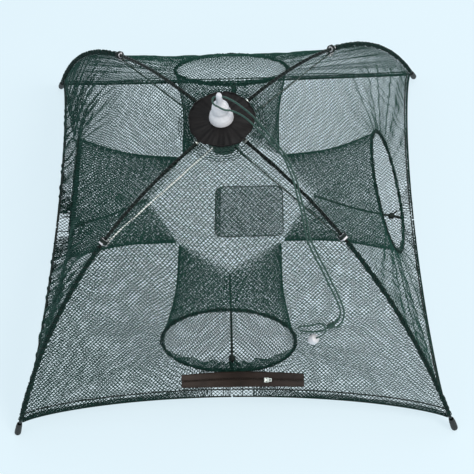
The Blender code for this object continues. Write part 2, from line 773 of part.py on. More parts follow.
def make_cord():
    step = 3 * 2 * CORD_R
    line_object("cord_strand", smooth_route(STRAND_ROUTE, step), CORD_R, cord_green())
    line_object("cord_strand_second", smooth_route(SECOND_STRAND_ROUTE, step), CORD_R, cord_green())
    middle = Vector(STRAND_ROUTE[KNOT_AT]) / 1000
    along = (Vector(STRAND_ROUTE[KNOT_AT + 1]) - Vector(STRAND_ROUTE[KNOT_AT - 1])).normalized()
    turns = np.linspace(0, 2 * math.pi, 9)[:-1]
    ring = [(KNOT_R + KNOT_THICK * math.cos(a), KNOT_THICK * math.sin(a)) for a in turns]
    at = Matrix.Translation(middle) @ along.to_track_quat("Z", "Y").to_matrix().to_4x4()
    place("cord_knot", smooth(turned("knot", ring, 12)), cord_green(), at)
    last, before = (Vector(STRAND_ROUTE[k]) / 1000 for k in (-1, -2))
    along = (last - before).normalized()
    outline = [(0, GAP), (0.0030, GAP), (0.0062, 0.0020), (0.0070, 0.0050), (0.0070, 0.0090)]
    outline += [(0.0062, 0.0118), (0.0040, 0.0130), (0, 0.0130)]
    at = Matrix.Translation(last) @ along.to_track_quat("Z", "Y").to_matrix().to_4x4()
    place("cord_end", smooth(turned("end", outline, 12)), white_plastic(), at)


def floor_grid():
    """The front right quarter of the floor, in square rings from the middle of the trap out to its hem."""
    count = 8
    rows = []
    for i in range(count):
        row = []
        for j in range(count):
            ring = max(i, j) / (count - 1)
            along = min(i, j) / max(i, j, 1)
            rim = side_point(along, HEM_SHARE) + Vector((0, 0.008, -FLOOR_GAP))
            if i > j:
                rim = Vector((-rim.y, -rim.x, rim.z))
            height = FLOOR_MIDDLE_Z + (rim.z - FLOOR_MIDDLE_Z) * ring**FLOOR_CURL
            row.append(Vector((rim.x * ring + GAP, rim.y * ring - GAP, height)))
        rows.append(row)
    return rows


def make_floor():
    for corner in CORNERS:
        mesh = thick_sheet("floor", floor_grid(), NET_THICK)
        mesh.transform(Matrix.Rotation(math.radians(90 * CORNERS.index(corner)), 4, "Z"))
        place("net_floor_" + corner, mesh, net_green())


def make_bait_pocket():
    """A flat pocket of net with round corners, sewn onto the middle of the floor."""
    lows = [low + POCKET_CORNER_R for low in POCKET_LOW]
    highs = [high - POCKET_CORNER_R for high in POCKET_HIGH]
    turning = [(highs[0], highs[1]), (lows[0], highs[1]), (lows[0], lows[1]), (highs[0], lows[1])]
    outline = []
    for quarter, (x, y) in enumerate(turning):
        for step in range(5):
            turn = math.radians(90 * quarter + 22.5 * step)
            outline.append((x + POCKET_CORNER_R * math.cos(turn), y + POCKET_CORNER_R * math.sin(turn)))
    count = len(outline)
    points = [(x, y, POCKET_Z + side * NET_THICK / 2) for side in (-1, 1) for x, y in outline]
    faces = [list(range(count)), list(range(count, 2 * count))]
    for k in range(count):
        after = (k + 1) % count
        faces.append([k, after, count + after, count + k])
    place("bait_pocket", outward(mesh_from("pocket", points, faces)), net_green())


# --- everything ---------------------------------------------------------------------------------
def main():
    clear_scene()
    make_hub_body()
    make_hub_pins()
    make_hub_patch()
    make_hub_cone()
    make_runner()
    make_ribs()
    make_rib_tongues()
    make_clips()
    make_feet()
    make_stretchers()
    make_sides()
    make_hoops()
    make_funnels()
    make_ties()
    make_zip_tape()
    make_zip_slider()
    make_zip_tab()
    make_floor()
    make_bait_pocket()
    make_cord()


main()
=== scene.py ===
import json
import math

import bpy
import numpy as np
from mathutils import Matrix, Vector


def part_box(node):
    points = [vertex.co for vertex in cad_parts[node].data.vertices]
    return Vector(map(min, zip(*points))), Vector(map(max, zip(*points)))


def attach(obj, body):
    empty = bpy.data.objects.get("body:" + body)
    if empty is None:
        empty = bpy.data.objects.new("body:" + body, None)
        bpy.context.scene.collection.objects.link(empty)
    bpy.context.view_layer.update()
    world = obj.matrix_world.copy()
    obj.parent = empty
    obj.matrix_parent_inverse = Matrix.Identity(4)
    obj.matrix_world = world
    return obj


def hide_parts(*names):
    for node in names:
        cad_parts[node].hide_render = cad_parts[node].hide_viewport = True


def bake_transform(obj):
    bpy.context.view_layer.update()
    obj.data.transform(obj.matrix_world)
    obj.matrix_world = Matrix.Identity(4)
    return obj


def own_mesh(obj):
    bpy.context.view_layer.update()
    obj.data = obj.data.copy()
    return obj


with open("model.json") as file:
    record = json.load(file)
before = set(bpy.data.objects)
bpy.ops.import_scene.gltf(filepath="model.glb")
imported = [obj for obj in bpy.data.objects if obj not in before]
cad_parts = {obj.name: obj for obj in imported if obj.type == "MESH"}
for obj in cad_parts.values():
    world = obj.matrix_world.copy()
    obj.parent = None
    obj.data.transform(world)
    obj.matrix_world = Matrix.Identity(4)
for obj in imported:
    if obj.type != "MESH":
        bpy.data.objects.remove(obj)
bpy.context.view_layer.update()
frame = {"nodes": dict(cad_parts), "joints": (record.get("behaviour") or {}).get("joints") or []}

# --- what the CAD frame says (metres, +Z up, the front side faces -Y) -----------------------------
SIDES = ("front", "right", "back", "left")
CORNERS = ("front_right", "back_right", "back_left", "front_left")
JOINTS = {joint["name"]: joint for joint in frame["joints"]}

rib_pin = JOINTS["rib_front_right_fold"]["pos_m"]
rod_low, rod_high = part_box("rib_rod_front_right")
ROD_R = 0.00225
RIB_BOW = 2.65  # power of the curve that a rib's height follows
HUB_PIN_R = math.hypot(rib_pin[0], rib_pin[1])
RIB_TOP_Z = rib_pin[2]
RIB_REACH = (rod_high[0] - 0.945 * ROD_R) * math.sqrt(2)
RIB_END_Z = rod_low[2] + 0.46 * ROD_R
clip_pin = JOINTS["stretcher_front_right_swing"]["pos_m"]
CLIP_REACH = math.hypot(clip_pin[0], clip_pin[1]) + 0.0037
hoop_middle = JOINTS["hoop_front_carry"]["pos_m"]
HOOP_REACH = -hoop_middle[1]
HOOP_Z = hoop_middle[2]
hoop_low, hoop_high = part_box("hoop_front")
HOOP_WIRE_R = 0.00125
HOOP_R = (hoop_high[0] - hoop_low[0]) / 2 - HOOP_WIRE_R
HOOP_LEAN = {"front": 6, "right": 20, "back": 24, "left": 14}  # degrees that the hoop's top leans in
patch_low, patch_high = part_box("hub_patch")
PATCH_R = patch_high[0]
PATCH_Z = patch_high[2]

# --- netting ------------------------------------------------------------------------------------
PITCH = 0.0042  # between strands that run side by side
POCKET_PITCH = 0.0029
STRAND_WIDTH = 0.00092
STRAND_HEIGHT = 0.00048
JOINT_HALF = 0.00055  # two strands run side by side for this far on either side of a crossing
JOINT_SPREAD = 0.00020
WANDER = 0.00055  # how far strands stray from even rows
NET_DROP = 0.0036  # the net hangs this far inside the middle line of the rods
TOP_SHARE = 0.045  # share of a rib's reach where the net starts
HEM_SHARE = 0.980  # and where it ends
HEM_PULL = 0.028  # how far the middle of the hem is drawn in
HEM_LIFT = 0.033  # and up
HEM_WIDTH = 0.011
FOLD_DEPTH = 0.0011  # of the soft folds that run out from the hoops
DRAPE_DEPTH = 0.0055  # of the upright folds in a side, for cloth gathered to nothing
DRAPE_LENGTH = 0.021
CANOPY_SHARE = 0.50  # share of a rib's reach where the canopy turns down into the sides
GATHER = {"front": 1.0, "right": 0.88, "back": 0.96, "left": 0.38}  # a side's width over its cloth's

THROAT_HALF_WIDTH = 0.0765
THROAT_HALF_HEIGHT = 0.011
THROAT_REACH = 0.081
THROAT_NOTCH = 0.050
THROAT_Z = 0.132
FLOOR_MIDDLE_Z = 0.010
FLOOR_CURL = 4.0

ZIP_LEFT = -0.073
ZIP_RIGHT = 0.105
ZIP_DIP = 0.020

# --- the pull cord: places, in millimetres, that its two strands pass through ---------------------
CORD_R = 0.0013
STRAND_ROUTE = (
    (-1.5, 0.0, 383.4),
    (-6.3, 0.0, 383.4),
    (-8.6, -3.2, 381.6),
    (-7.0, -7.8, 378.8),
    (-1.8, -9.8, 376.0),
    (6.5, -12.5, 372.5),
    (14.7, -11.0, 368.5),
    (24.0, -10.5, 361.0),
    (32.1, -10.5, 352.0),
    (42.6, -14.5, 341.0),
    (57.0, -27.0, 331.0),
    (71.9, -42.2, 324.0),
    (80.8, -53.7, 322.5),
    (88.1, -73.9, 321.6),
    (93.5, -93.5, 324.2),
    (96.6, -108.2, 320.0),
    (103.0, -129.1, 303.7),
    (109.0, -156.5, 286.4),
    (117.9, -173.3, 272.0),
    (128.2, -187.9, 256.6),
    (137.3, -200.9, 240.4),
    (146.7, -213.2, 222.4),
    (152.6, -222.4, 206.6),
    (151.8, -228.8, 196.2),
    (147.1, -232.8, 190.4),
    (140.7, -236.4, 186.6),
    (134.0, -238.6, 180.6),
    (126.3, -239.4, 173.8),
    (115.5, -239.2, 172.0),
    (104.6, -238.6, 172.6),
    (97.4, -237.9, 178.0),
    (98.2, -236.6, 185.6),
    (106.0, -236.4, 186.4),
    (115.3, -235.8, 186.6),
    (124.0, -234.8, 190.6),
    (130.6, -238.4, 193.0),
    (133.0, -244.0, 188.0),
    (129.5, -246.6, 178.5),
    (121.3, -246.1, 166.4),
)
KNOT_AT = 25  # which of those places is the middle of the knot
SECOND_STRAND_ROUTE = (
    (1.5, 0.0, 383.4),
    (5.5, 0.0, 383.4),
    (10.0, -0.5, 381.8),
    (15.5, -1.0, 377.5),
    (22.0, -1.6, 371.5),
    (30.0, -2.5, 362.0),
    (38.0, -3.5, 351.5),
    (46.0, -6.5, 341.5),
    (60.0, -20.5, 331.5),
    (75.5, -38.5, 323.9),
    (84.2, -51.6, 322.2),
    (92.3, -73.5, 320.6),
    (97.7, -93.5, 323.8),
    (100.5, -107.8, 319.5),
    (107.2, -128.8, 303.7),
    (113.3, -155.8, 286.8),
    (122.3, -172.1, 272.8),
    (132.6, -186.7, 257.5),
    (141.8, -199.8, 241.4),
    (151.2, -212.4, 223.4),
    (157.4, -223.2, 206.6),
    (157.0, -230.6, 194.8),
    (152.0, -236.4, 188.2),
    (147.4, -239.6, 185.6),
)


# --- camera, light and stage --------------------------------------------------------------------
def make_camera():
    azimuth, elevation, roll = math.radians(-5.2), math.radians(62.02), -0.1006
    away = Vector((-math.sin(azimuth) * math.cos(elevation), -math.cos(azimuth) * math.cos(elevation),
                   math.sin(elevation)))
    right = (-away).cross(Vector((0, 0, 1))).normalized()
    up = right.cross(-away)
    turned_right = right * math.cos(roll) + up * math.sin(roll)
    turned_up = up * math.cos(roll) - right * math.sin(roll)
    data = bpy.data.cameras.new("camera")
    data.sensor_width = 36
    data.lens = 855.17 / 474 * data.sensor_width
    data.shift_x = -0.0089
    data.shift_y = 0.0120
    camera = bpy.data.objects.new("camera", data)
    place = Vector((0.0104, -0.0087, 0)) + away * 1.4283
    axes = Matrix((turned_right, turned_up, away)).transposed().to_4x4()
    camera.matrix_world = Matrix.Translation(place) @ axes
    bpy.context.scene.collection.objects.link(camera)
    bpy.context.scene.camera = camera


def make_light(name, place, size, power, colour=(1, 1, 1)):
    data = bpy.data.lights.new(name, "AREA")
    data.shape = "DISK"
    data.size = size
    data.energy = power
    data.color = colour
    light = bpy.data.objects.new(name, data)
    aim = (Vector((0, 0, 0.1)) - Vector(place)).to_track_quat("-Z", "Y")
    light.matrix_world = Matrix.Translation(place) @ aim.to_matrix().to_4x4()
    bpy.context.scene.collection.objects.link(light)


def make_stage():
    world = bpy.data.worlds.new("studio")
    world.use_nodes = True
    back = world.node_tree.nodes["Background"]
    back.inputs["Color"].default_value = (0.86, 0.93, 0.97, 1)
    back.inputs["Strength"].default_value = 0.55
    bpy.context.scene.world = world
    mesh = bpy.data.meshes.new("studio_floor")
    half, low = 40.0, -0.0006
    corners = [(-half, -half, low), (half, -half, low), (half, half, low), (-half, half, low)]
    mesh.from_pydata(corners, [], [(0, 1, 2, 3)])
    ground = bpy.data.objects.new("studio_floor", mesh)
    bpy.context.scene.collection.objects.link(ground)
    pale = bpy.data.materials.new("studio_floor")
    pale.use_nodes = True
    shader = pale.node_tree.nodes["Principled BSDF"]
    shader.inputs["Base Color"].default_value = (0.19, 0.22, 0.24, 1)
    shader.inputs["Roughness"].default_value = 1.0
    shader.inputs["Specular IOR Level"].default_value = 0.0
    shader.inputs["Emission Color"].default_value = (0.76, 0.90, 0.97, 1)
    shader.inputs["Emission Strength"].default_value = 0.80
    mesh.materials.append(pale)
    make_light("key", (1.3, -0.7, 2.0), 0.9, 22, (1.0, 0.93, 0.84))
    make_light("fill", (-1.5, -0.8, 1.7), 1.6, 5)
    make_light("top", (0.3, 0.9, 2.4), 1.2, 9)
    bpy.context.scene.view_settings.view_transform = "Standard"
    bpy.context.scene.view_settings.look = "None"


# --- materials ----------------------------------------------------------------------------------
def node_material(name):
    made = bpy.data.materials.new(name)
    made.use_nodes = True
    return made, made.node_tree, made.node_tree.nodes["Principled BSDF"]


def noise(tree, scale, detail=3.0, stretch=(1, 1, 1), roughness=0.5):
    """Object-space noise; stretch above 1 makes it finer along that axis."""
    where = tree.nodes.new("ShaderNodeTexCoord")
    sized = tree.nodes.new("ShaderNodeMapping")
    sized.inputs["Scale"].default_value = stretch
    made = tree.nodes.new("ShaderNodeTexNoise")
    made.inputs["Scale"].default_value = scale
    made.inputs["Detail"].default_value = detail
    made.inputs["Roughness"].default_value = roughness
    tree.links.new(where.outputs["Object"], sized.inputs["Vector"])
    tree.links.new(sized.outputs["Vector"], made.inputs["Vector"])
    return made.outputs["Fac"]


def ramp(tree, value, stops):
    """A colour ramp over (place, (r, g, b)) stops."""
    made = tree.nodes.new("ShaderNodeValToRGB")
    bands = made.color_ramp.elements
    while len(bands) < len(stops):
        bands.new(0.5)
    for band, (place, colour) in zip(bands, stops):
        band.position = place
        band.color = (*colour, 1)
    tree.links.new(value, made.inputs["Fac"])
    return made.outputs["Color"]


def bump(tree, shader, value, strength, distance):
    made = tree.nodes.new("ShaderNodeBump")
    made.inputs["Strength"].default_value = strength
    made.inputs["Distance"].default_value = distance
    tree.links.new(value, made.inputs["Height"])
    tree.links.new(made.outputs["Normal"], shader.inputs["Normal"])


def varied(name, stops, scale, rough, strength=0.3, distance=0.0002, stretch=(1, 1, 1), fine=None):
    """A material whose colour and roughness vary with noise, with a finer noise in its bump."""
    made, tree, shader = node_material(name)
    tone = noise(tree, scale, stretch=stretch)
    tree.links.new(ramp(tree, tone, stops), shader.inputs["Base Color"])
    spread = ramp(tree, tone, [(0.2, (rough[0],) * 3), (0.8, (rough[1],) * 3)])
    tree.links.new(spread, shader.inputs["Roughness"])
    bump(tree, shader, noise(tree, fine or scale * 6, stretch=stretch), strength, distance)
    return made, tree, shader


def net_material(name, dark, mid, light):
    made, tree, shader = varied(name, [(0.25, dark), (0.55, mid), (0.8, light)], 240, (0.55, 0.75), fine=2600)
    shader.inputs["Specular IOR Level"].default_value = 0.25
    return made


def make_net_looks(made):
    made["net"] = net_material("netting", (0.002, 0.034, 0.027), (0.007, 0.060, 0.045), (0.040, 0.135, 0.095))
    made["net_dark"] = net_material("netting_edge", (0.002, 0.018, 0.014), (0.004, 0.034, 0.027),
                                    (0.012, 0.070, 0.056))


def make_cord_looks(made):
    made["cord"], _, shader = varied("pull_cord", [(0.2, (0.003, 0.032, 0.024)), (0.6, (0.009, 0.072, 0.055)),
                                                   (0.85, (0.06, 0.19, 0.15))], 700, (0.35, 0.6), fine=4000)
    shader.inputs["Sheen Weight"].default_value = 0.3
    made["thread"], _, _ = varied("tie_string", [(0.3, (0.003, 0.009, 0.008)), (0.7, (0.008, 0.022, 0.019))],
                                  900, (0.6, 0.8), fine=5000)
    made["stitch"], _, _ = varied("sewing_thread", [(0.3, (0.030, 0.022, 0.018)), (0.7, (0.070, 0.052, 0.042))],
                                  1500, (0.6, 0.8), fine=6000)


def make_hard_looks(made):
    made["rod"], _, shader = varied("resin_rod", [(0.3, (0.002, 0.005, 0.004)), (0.75, (0.006, 0.014, 0.011))],
                                    60, (0.16, 0.30), 0.15, 0.0001, (1, 1, 1), 900)
    shader.inputs["Specular IOR Level"].default_value = 0.25
    made["steel"], _, shader = varied("bright_steel", [(0.3, (0.46, 0.50, 0.47)), (0.75, (0.72, 0.76, 0.72))],
                                      300, (0.16, 0.34), 0.2, 0.00005, (1, 1, 1), 3000)
    shader.inputs["Metallic"].default_value = 1.0
    # Wire for the other three stretchers: the same wire as the front left one, darkened as painted shade where no
    # light glints on it.
    made["shade_painted_steel"], _, shader = varied("wire_with_painted_shade", [(0.3, (0.10, 0.12, 0.11)), (0.75, (0.24, 0.27, 0.25))],
                                           300, (0.20, 0.36), 0.15, 0.00005, (1, 1, 1), 3000)
    shader.inputs["Metallic"].default_value = 1.0
    # Wire for the front left stretcher only: its pale colour and faint glow are a painted highlight, the glint of
    # light on that one wire.
    made["glint_painted_steel"], _, shader = varied("wire_with_painted_glint", [(0.3, (0.80, 0.86, 0.82)), (0.75, (0.92, 0.96, 0.93))],
                                           300, (0.22, 0.36), 0.15, 0.00005, (1, 1, 1), 3000)
    shader.inputs["Emission Color"].default_value = (0.95, 1.0, 0.97, 1)
    shader.inputs["Emission Strength"].default_value = 0.35
    made["plastic"], _, shader = varied("white_moulded_plastic", [(0.3, (0.76, 0.76, 0.82)), (0.75, (0.88, 0.88, 0.92))],
                                        45, (0.28, 0.42), 0.12, 0.0002, (1, 1, 1), 500)
    shader.inputs["Subsurface Weight"].default_value = 0.15
    shader.inputs["Subsurface Radius"].default_value = (0.004, 0.004, 0.004)
    made["dark_plastic"], _, _ = varied("black_moulded_plastic", [(0.3, (0.008, 0.010, 0.010)),
                                                                  (0.75, (0.022, 0.026, 0.026))],
                                        60, (0.35, 0.5), 0.12, 0.0002, (1, 1, 1), 600)
    made["green_plastic"], _, _ = varied("green_moulded_plastic", [(0.3, (0.030, 0.065, 0.052)),
                                                                    (0.75, (0.060, 0.110, 0.092))],
                                         60, (0.45, 0.6), 0.12, 0.0002, (1, 1, 1), 600)
    made["rubber"], _, _ = varied("black_rubber", [(0.3, (0.010, 0.012, 0.012)), (0.75, (0.030, 0.034, 0.034))],
                                  200, (0.5, 0.75), 0.35, 0.0002, (1, 1, 1), 1800)
    made["coil"], _, _ = varied("nylon_coil", [(0.3, (0.022, 0.014, 0.010)), (0.7, (0.055, 0.036, 0.028))],
                                800, (0.3, 0.45), fine=4000)


def woven(name, stops, threads, rough, strength):
    """Cloth with crossing threads in its bump and a slow change of colour."""
    made, tree, shader = node_material(name)
    tree.links.new(ramp(tree, noise(tree, 55), stops), shader.inputs["Base Color"])
    waves = []
    for direction in ("X", "Y"):
        wave = tree.nodes.new("ShaderNodeTexWave")
        wave.bands_direction = direction
        wave.inputs["Scale"].default_value = threads
        wave.inputs["Distortion"].default_value = 0.4
        where = tree.nodes.new("ShaderNodeTexCoord")
        tree.links.new(where.outputs["Object"], wave.inputs["Vector"])
        waves.append(wave.outputs["Fac"])
    crossed = tree.nodes.new("ShaderNodeMath")
    crossed.operation = "MULTIPLY"
    tree.links.new(waves[0], crossed.inputs[0])
    tree.links.new(waves[1], crossed.inputs[1])
    bump(tree, shader, crossed.outputs[0], strength, 0.00012)
    spread = ramp(tree, crossed.outputs[0], [(0.2, (rough[0],) * 3), (0.8, (rough[1],) * 3)])
    tree.links.new(spread, shader.inputs["Roughness"])
    return made, shader


def make_cloth_looks(made):
    made["patch"], shader = woven("satin_cloth", [(0.3, (0.005, 0.0045, 0.005)), (0.75, (0.014, 0.012, 0.012))],
                                  500, (0.32, 0.48), 0.35)
    shader.inputs["Specular IOR Level"].default_value = 0.18
    made["tape"], _ = woven("zip_tape_cloth", [(0.3, (0.020, 0.012, 0.009)), (0.75, (0.045, 0.028, 0.022))],
                            420, (0.65, 0.85), 0.5)


def make_materials():
    made = {}
    make_net_looks(made)
    make_cord_looks(made)
    make_hard_looks(made)
    make_cloth_looks(made)
    return made


def node_looks():
    """Which material each kept CAD node shows."""
    looks = {"hub_cone": "plastic", "hub_body": "dark_plastic", "runner": "green_plastic"}
    for corner in CORNERS:
        looks["hub_pin_" + corner] = "steel"
        looks["rib_rod_" + corner] = "rod"
        looks["rib_tongue_" + corner] = "steel"
        looks["rib_clip_" + corner] = "plastic"
        looks["clip_rivet_" + corner] = "steel"
        looks["foot_" + corner] = "rubber"
        # The stretchers are alike: the front left one gets the painted highlight, the other three the painted shade.
        looks["stretcher_" + corner] = "glint_painted_steel" if corner == "front_left" else "shade_painted_steel"
    for side in SIDES:
        looks["hoop_" + side] = "rod"
    looks["zip_slider"] = "steel"
    looks["zip_tab"] = "steel"
    return looks


def paint_nodes(materials):
    for node, look in node_looks().items():
        kept = frame["nodes"][node]
        for slot in kept.material_slots:
            slot.material = materials[look]


# --- mesh helpers -------------------------------------------------------------------------------
def mesh_object(name, points, faces, look, smooth=True):
    """An object from an (n, 3) array of points and a list of integer arrays of equal-sided faces."""
    mesh = bpy.data.meshes.new(name)
    mesh.vertices.add(len(points))
    mesh.vertices.foreach_set("co", np.asarray(points, np.float32).ravel())
    sizes = np.concatenate([np.full(len(group), group.shape[1]) for group in faces])
    corners = np.concatenate([group.ravel() for group in faces])
    mesh.loops.add(len(corners))
    mesh.loops.foreach_set("vertex_index", corners.astype(np.int32))
    mesh.polygons.add(len(sizes))
    starts = np.concatenate([[0], np.cumsum(sizes)[:-1]])
    mesh.polygons.foreach_set("loop_start", starts.astype(np.int32))
    mesh.polygons.foreach_set("use_smooth", np.full(len(sizes), smooth))
    mesh.update(calc_edges=True)
    mesh.materials.append(look)
    made = bpy.data.objects.new(name, mesh)
    bpy.context.scene.collection.objects.link(made)
    return made


def unit(vectors):
    return vectors / np.maximum(np.linalg.norm(vectors, axis=-1, keepdims=True), 1e-12)


def tubes(lines, normals, section, ends=True, width=None):
    """Points and faces of bars along lines; section is (sideways, off) points, anticlockwise from the end.
    width scales the section sideways at each point of the lines."""
    sides = len(section)
    lengths = np.array([len(line) for line in lines])
    points = np.concatenate(lines)
    off = unit(np.concatenate(normals))
    first = np.concatenate([[0], np.cumsum(lengths)[:-1]])
    last = first + lengths - 1
    along = np.zeros_like(points)
    along[1:-1] = points[2:] - points[:-2]
    along[first] = points[first + 1] - points[first]
    along[last] = points[last] - points[last - 1]
    sideways = unit(np.cross(along, off))
    off = unit(np.cross(sideways, along))
    wide = np.ones(len(points)) if width is None else width(points)
    rings = [points + sideways * s * wide[:, None] + off * h for s, h in section]
    corners = np.stack(rings, 1).reshape(-1, 3)
    inner = np.ones(len(points), bool)
    inner[last] = False
    at = np.nonzero(inner)[0] * sides
    walls = []
    for k in range(sides):
        after = (k + 1) % sides
        walls.append(np.stack([at + k, at + after, at + sides + after, at + sides + k], 1))
    if not ends:
        return corners, [np.concatenate(walls)]
    ring = np.arange(sides)
    front = first[:, None] * sides + ring[::-1]
    back = last[:, None] * sides + ring
    return corners, [np.concatenate(walls), front, back]


def round_section(radius, sides):
    turns = np.arange(sides) * 2 * math.pi / sides
    return [(radius * math.cos(turn), radius * math.sin(turn)) for turn in turns]


def level_normals(line):
    """A direction across the line that changes smoothly, for bars with no up side of their own."""
    along = unit(np.gradient(line, axis=0))
    normal = np.cross(along[0], (0.31, 0.17, 0.93))
    found = []
    for step in along:
        normal = normal - step * (normal @ step)
        normal = normal / np.linalg.norm(normal)
        found.append(normal)
    return np.array(found)


def rope(name, line, radius, look, sides=8, lobes=0, twist=0.0):
    """A round bar along a line; with lobes, a cord laid from that many strands, turning once in every twist."""
    line = np.asarray(line, float)
    off = level_normals(line)
    section = round_section(radius, sides)
    points, faces = tubes([line], [off], section)
    if lobes:
        run = np.concatenate([[0], np.cumsum(np.linalg.norm(np.diff(line, axis=0), axis=1))])
        turns = np.arange(sides) * 2 * math.pi / sides
        phase = lobes * (turns[None, :] + 2 * math.pi * run[:, None] / twist)
        scale = 1 - 0.16 * (1 - np.abs(np.cos(phase / 2)))
        middle = np.repeat(line, sides, 0)
        points = middle + (points - middle) * scale.reshape(-1, 1)
    return mesh_object(name, points, faces, look)


def smooth_line(places, step):
    """A smooth line through the places, with a point at about every step."""
    spots = [Vector(spot) for spot in places]
    spots = [spots[0] * 2 - spots[1], *spots, spots[-1] * 2 - spots[-2]]
    fine = []
    for a, b, c, d in zip(spots, spots[1:], spots[2:], spots[3:]):
        for k in range(12):
            t = k / 12
            fine.append((b * 2 + (c - a) * t + (a * 2 - b * 5 + c * 4 - d) * t * t
                         + (b * 3 - a - c * 3 + d) * t * t * t) / 2)
    fine.append(spots[-2])
    fine = np.array([tuple(spot) for spot in fine])
    return even_line(fine, step)


def even_line(line, step):
    run = np.concatenate([[0], np.cumsum(np.linalg.norm(np.diff(line, axis=0), axis=1))])
    count = max(2, round(run[-1] / step))
    even = np.linspace(0, run[-1], count + 1)
    return np.stack([np.interp(even, run, line[:, k]) for k in range(3)], 1)


def turn_z(points, quarters):
    """The points turned about Z by that many quarter turns."""
    turn = math.pi / 2 * quarters
    spin = np.array(((math.cos(turn), -math.sin(turn), 0), (math.sin(turn), math.cos(turn), 0), (0, 0, 1)))
    return points @ spin.T


# --- surfaces of the front side; the others are turned copies -------------------------------------
def rib_line(share, drop=0.0):
    """(reach, height) arrays on a rib's middle line, or that far inside it."""
    reach = HUB_PIN_R + (RIB_REACH - HUB_PIN_R) * share
    height = RIB_TOP_Z - (RIB_TOP_Z - RIB_END_Z) * share**RIB_BOW
    fall = -(RIB_TOP_Z - RIB_END_Z) * RIB_BOW * share ** (RIB_BOW - 1) / (RIB_REACH - HUB_PIN_R)
    long = np.hypot(1, fall)
    return reach + fall / long * drop, height - drop / long


def free_side(across, share):
    """The front cloth before the hoop pulls it: across is -1 to 1 between the ribs."""
    reach, height = rib_line(share, NET_DROP)
    half = reach / math.sqrt(2)
    sag = np.clip(1 - across**2, 0, 1) ** 0.75
    out = half - HEM_PULL * share**1.5 * sag
    return np.stack([across * half, -out, height + HEM_LIFT * share**5 * sag], -1)


SHARES = np.linspace(TOP_SHARE, HEM_SHARE, 500)
_reach, _height = rib_line(SHARES, NET_DROP)
HALVES = _reach / math.sqrt(2)
FALLS = np.concatenate([[0], np.cumsum(np.hypot(np.diff(HALVES), np.diff(_height)))])
FALL = FALLS[-1]  # length of a side from its top edge to its hem


def share_at(fall):
    return np.interp(fall, FALLS, SHARES)


def half_at(fall):
    return np.interp(fall, FALLS, HALVES)


def hoop_axes(side):
    lean = math.radians(HOOP_LEAN[side])
    up = np.array((0, math.sin(lean), math.cos(lean)))
    out = np.array((0, -math.cos(lean), math.sin(lean)))
    return np.array((0, -HOOP_REACH, HOOP_Z)), up, out


def hoop_points(side, turns, radius, inset=0.0):
    middle, up, out = hoop_axes(side)
    cos, sin = np.cos(turns)[:, None], np.sin(turns)[:, None]
    return middle - out * inset + np.array((1, 0, 0)) * radius * cos + up * radius * sin


def flat_place(spot):
    """(x, fall) on the unpulled cloth at the height and the distance along the side of a point."""
    across = 0.0
    for _ in range(6):
        heights = free_side(np.full(len(SHARES), across), SHARES)[:, 2]
        share = np.interp(-spot[2], -heights, SHARES)
        half = np.interp(share, SHARES, HALVES)
        across = spot[0] / half
    return spot[0], float(np.interp(share, SHARES, FALLS))


class Side:
    """The cloth of one side: maps flat places (x, fall) to points of the front side with this side's hoop."""

    def __init__(self, side):
        turns = np.linspace(0, 2 * math.pi, 181)[:-1]
        ring = hoop_points(side, turns, HOOP_R + HOOP_WIRE_R + 0.0002, -0.0004)
        places = np.array([flat_place(spot) for spot in ring])
        _, self.middle = flat_place(np.array((0, -HOOP_REACH, HOOP_Z)))
        self.drape = DRAPE_DEPTH * (1 - GATHER[side])
        pull = ring - free_side(places[:, 0] / half_at(places[:, 1]), share_at(places[:, 1]))
        angles = np.arctan2(self.middle - places[:, 1], places[:, 0])
        order = np.argsort(angles)
        self.angles = np.concatenate([angles[order] - 2 * math.pi, angles[order], angles[order] + 2 * math.pi])
        self.hole = np.tile(np.hypot(places[:, 0], self.middle - places[:, 1])[order], 3)
        self.pull = np.tile(pull[order], (3, 1))
        edge = [(half, fall) for half, fall in zip(HALVES, FALLS)]
        edge += [(x, 0) for x in np.linspace(-1, 1, 40) * HALVES[0]]
        edge += [(x, FALL) for x in np.linspace(-1, 1, 300) * HALVES[-1]]
        edge += [(-half, fall) for half, fall in zip(HALVES, FALLS)]
        edge = np.array(edge)
        angles = np.arctan2(self.middle - edge[:, 1], edge[:, 0])
        order = np.argsort(angles)
        self.rim_angles = np.concatenate([angles[order] - 2 * math.pi, angles[order], angles[order] + 2 * math.pi])
        self.rim = np.tile(np.hypot(edge[:, 0], self.middle - edge[:, 1])[order], 3)

    def polar(self, flat):
        x, fall = flat[:, 0], flat[:, 1]
        return np.arctan2(self.middle - fall, x), np.hypot(x, self.middle - fall)

    def inside(self, flat):
        """Above 0 on the cloth: roughly the distance to its nearest edge."""
        angle, away = self.polar(flat)
        hole = np.interp(angle, self.angles, self.hole)
        x, fall = np.abs(flat[:, 0]), flat[:, 1]
        rib = half_at(fall) - x
        return np.minimum(np.minimum(rib, away - hole), np.minimum(fall, FALL - fall))

    def surface(self, flat):
        angle, away = self.polar(flat)
        hole = np.interp(angle, self.angles, self.hole)
        rim = np.interp(angle, self.rim_angles, self.rim)
        part = np.clip((away - hole) / np.maximum(rim - hole, 1e-6), 0, 1)
        pull = np.stack([np.interp(angle, self.angles, self.pull[:, k]) for k in range(3)], 1)
        share = share_at(flat[:, 1])
        free = free_side(np.clip(flat[:, 0] / half_at(flat[:, 1]), -1, 1), share)
        slack = 4 * part * (1 - part) * np.clip((share - CANOPY_SHARE) / 0.15, 0, 1)  # the canopy is smooth
        ripple = FOLD_DEPTH * slack * (np.sin(23 * angle) + 0.7 * np.sin(37 * angle + 1))
        wave = 2 * math.pi * flat[:, 0] / DRAPE_LENGTH
        drape = self.drape * slack * np.sin(wave + 1.5 * np.sin(wave / 2.7))
        return free + pull * ((1 - part) ** 2)[:, None] + (ripple + drape)[:, None] * np.array((0, -1.0, 0.4))


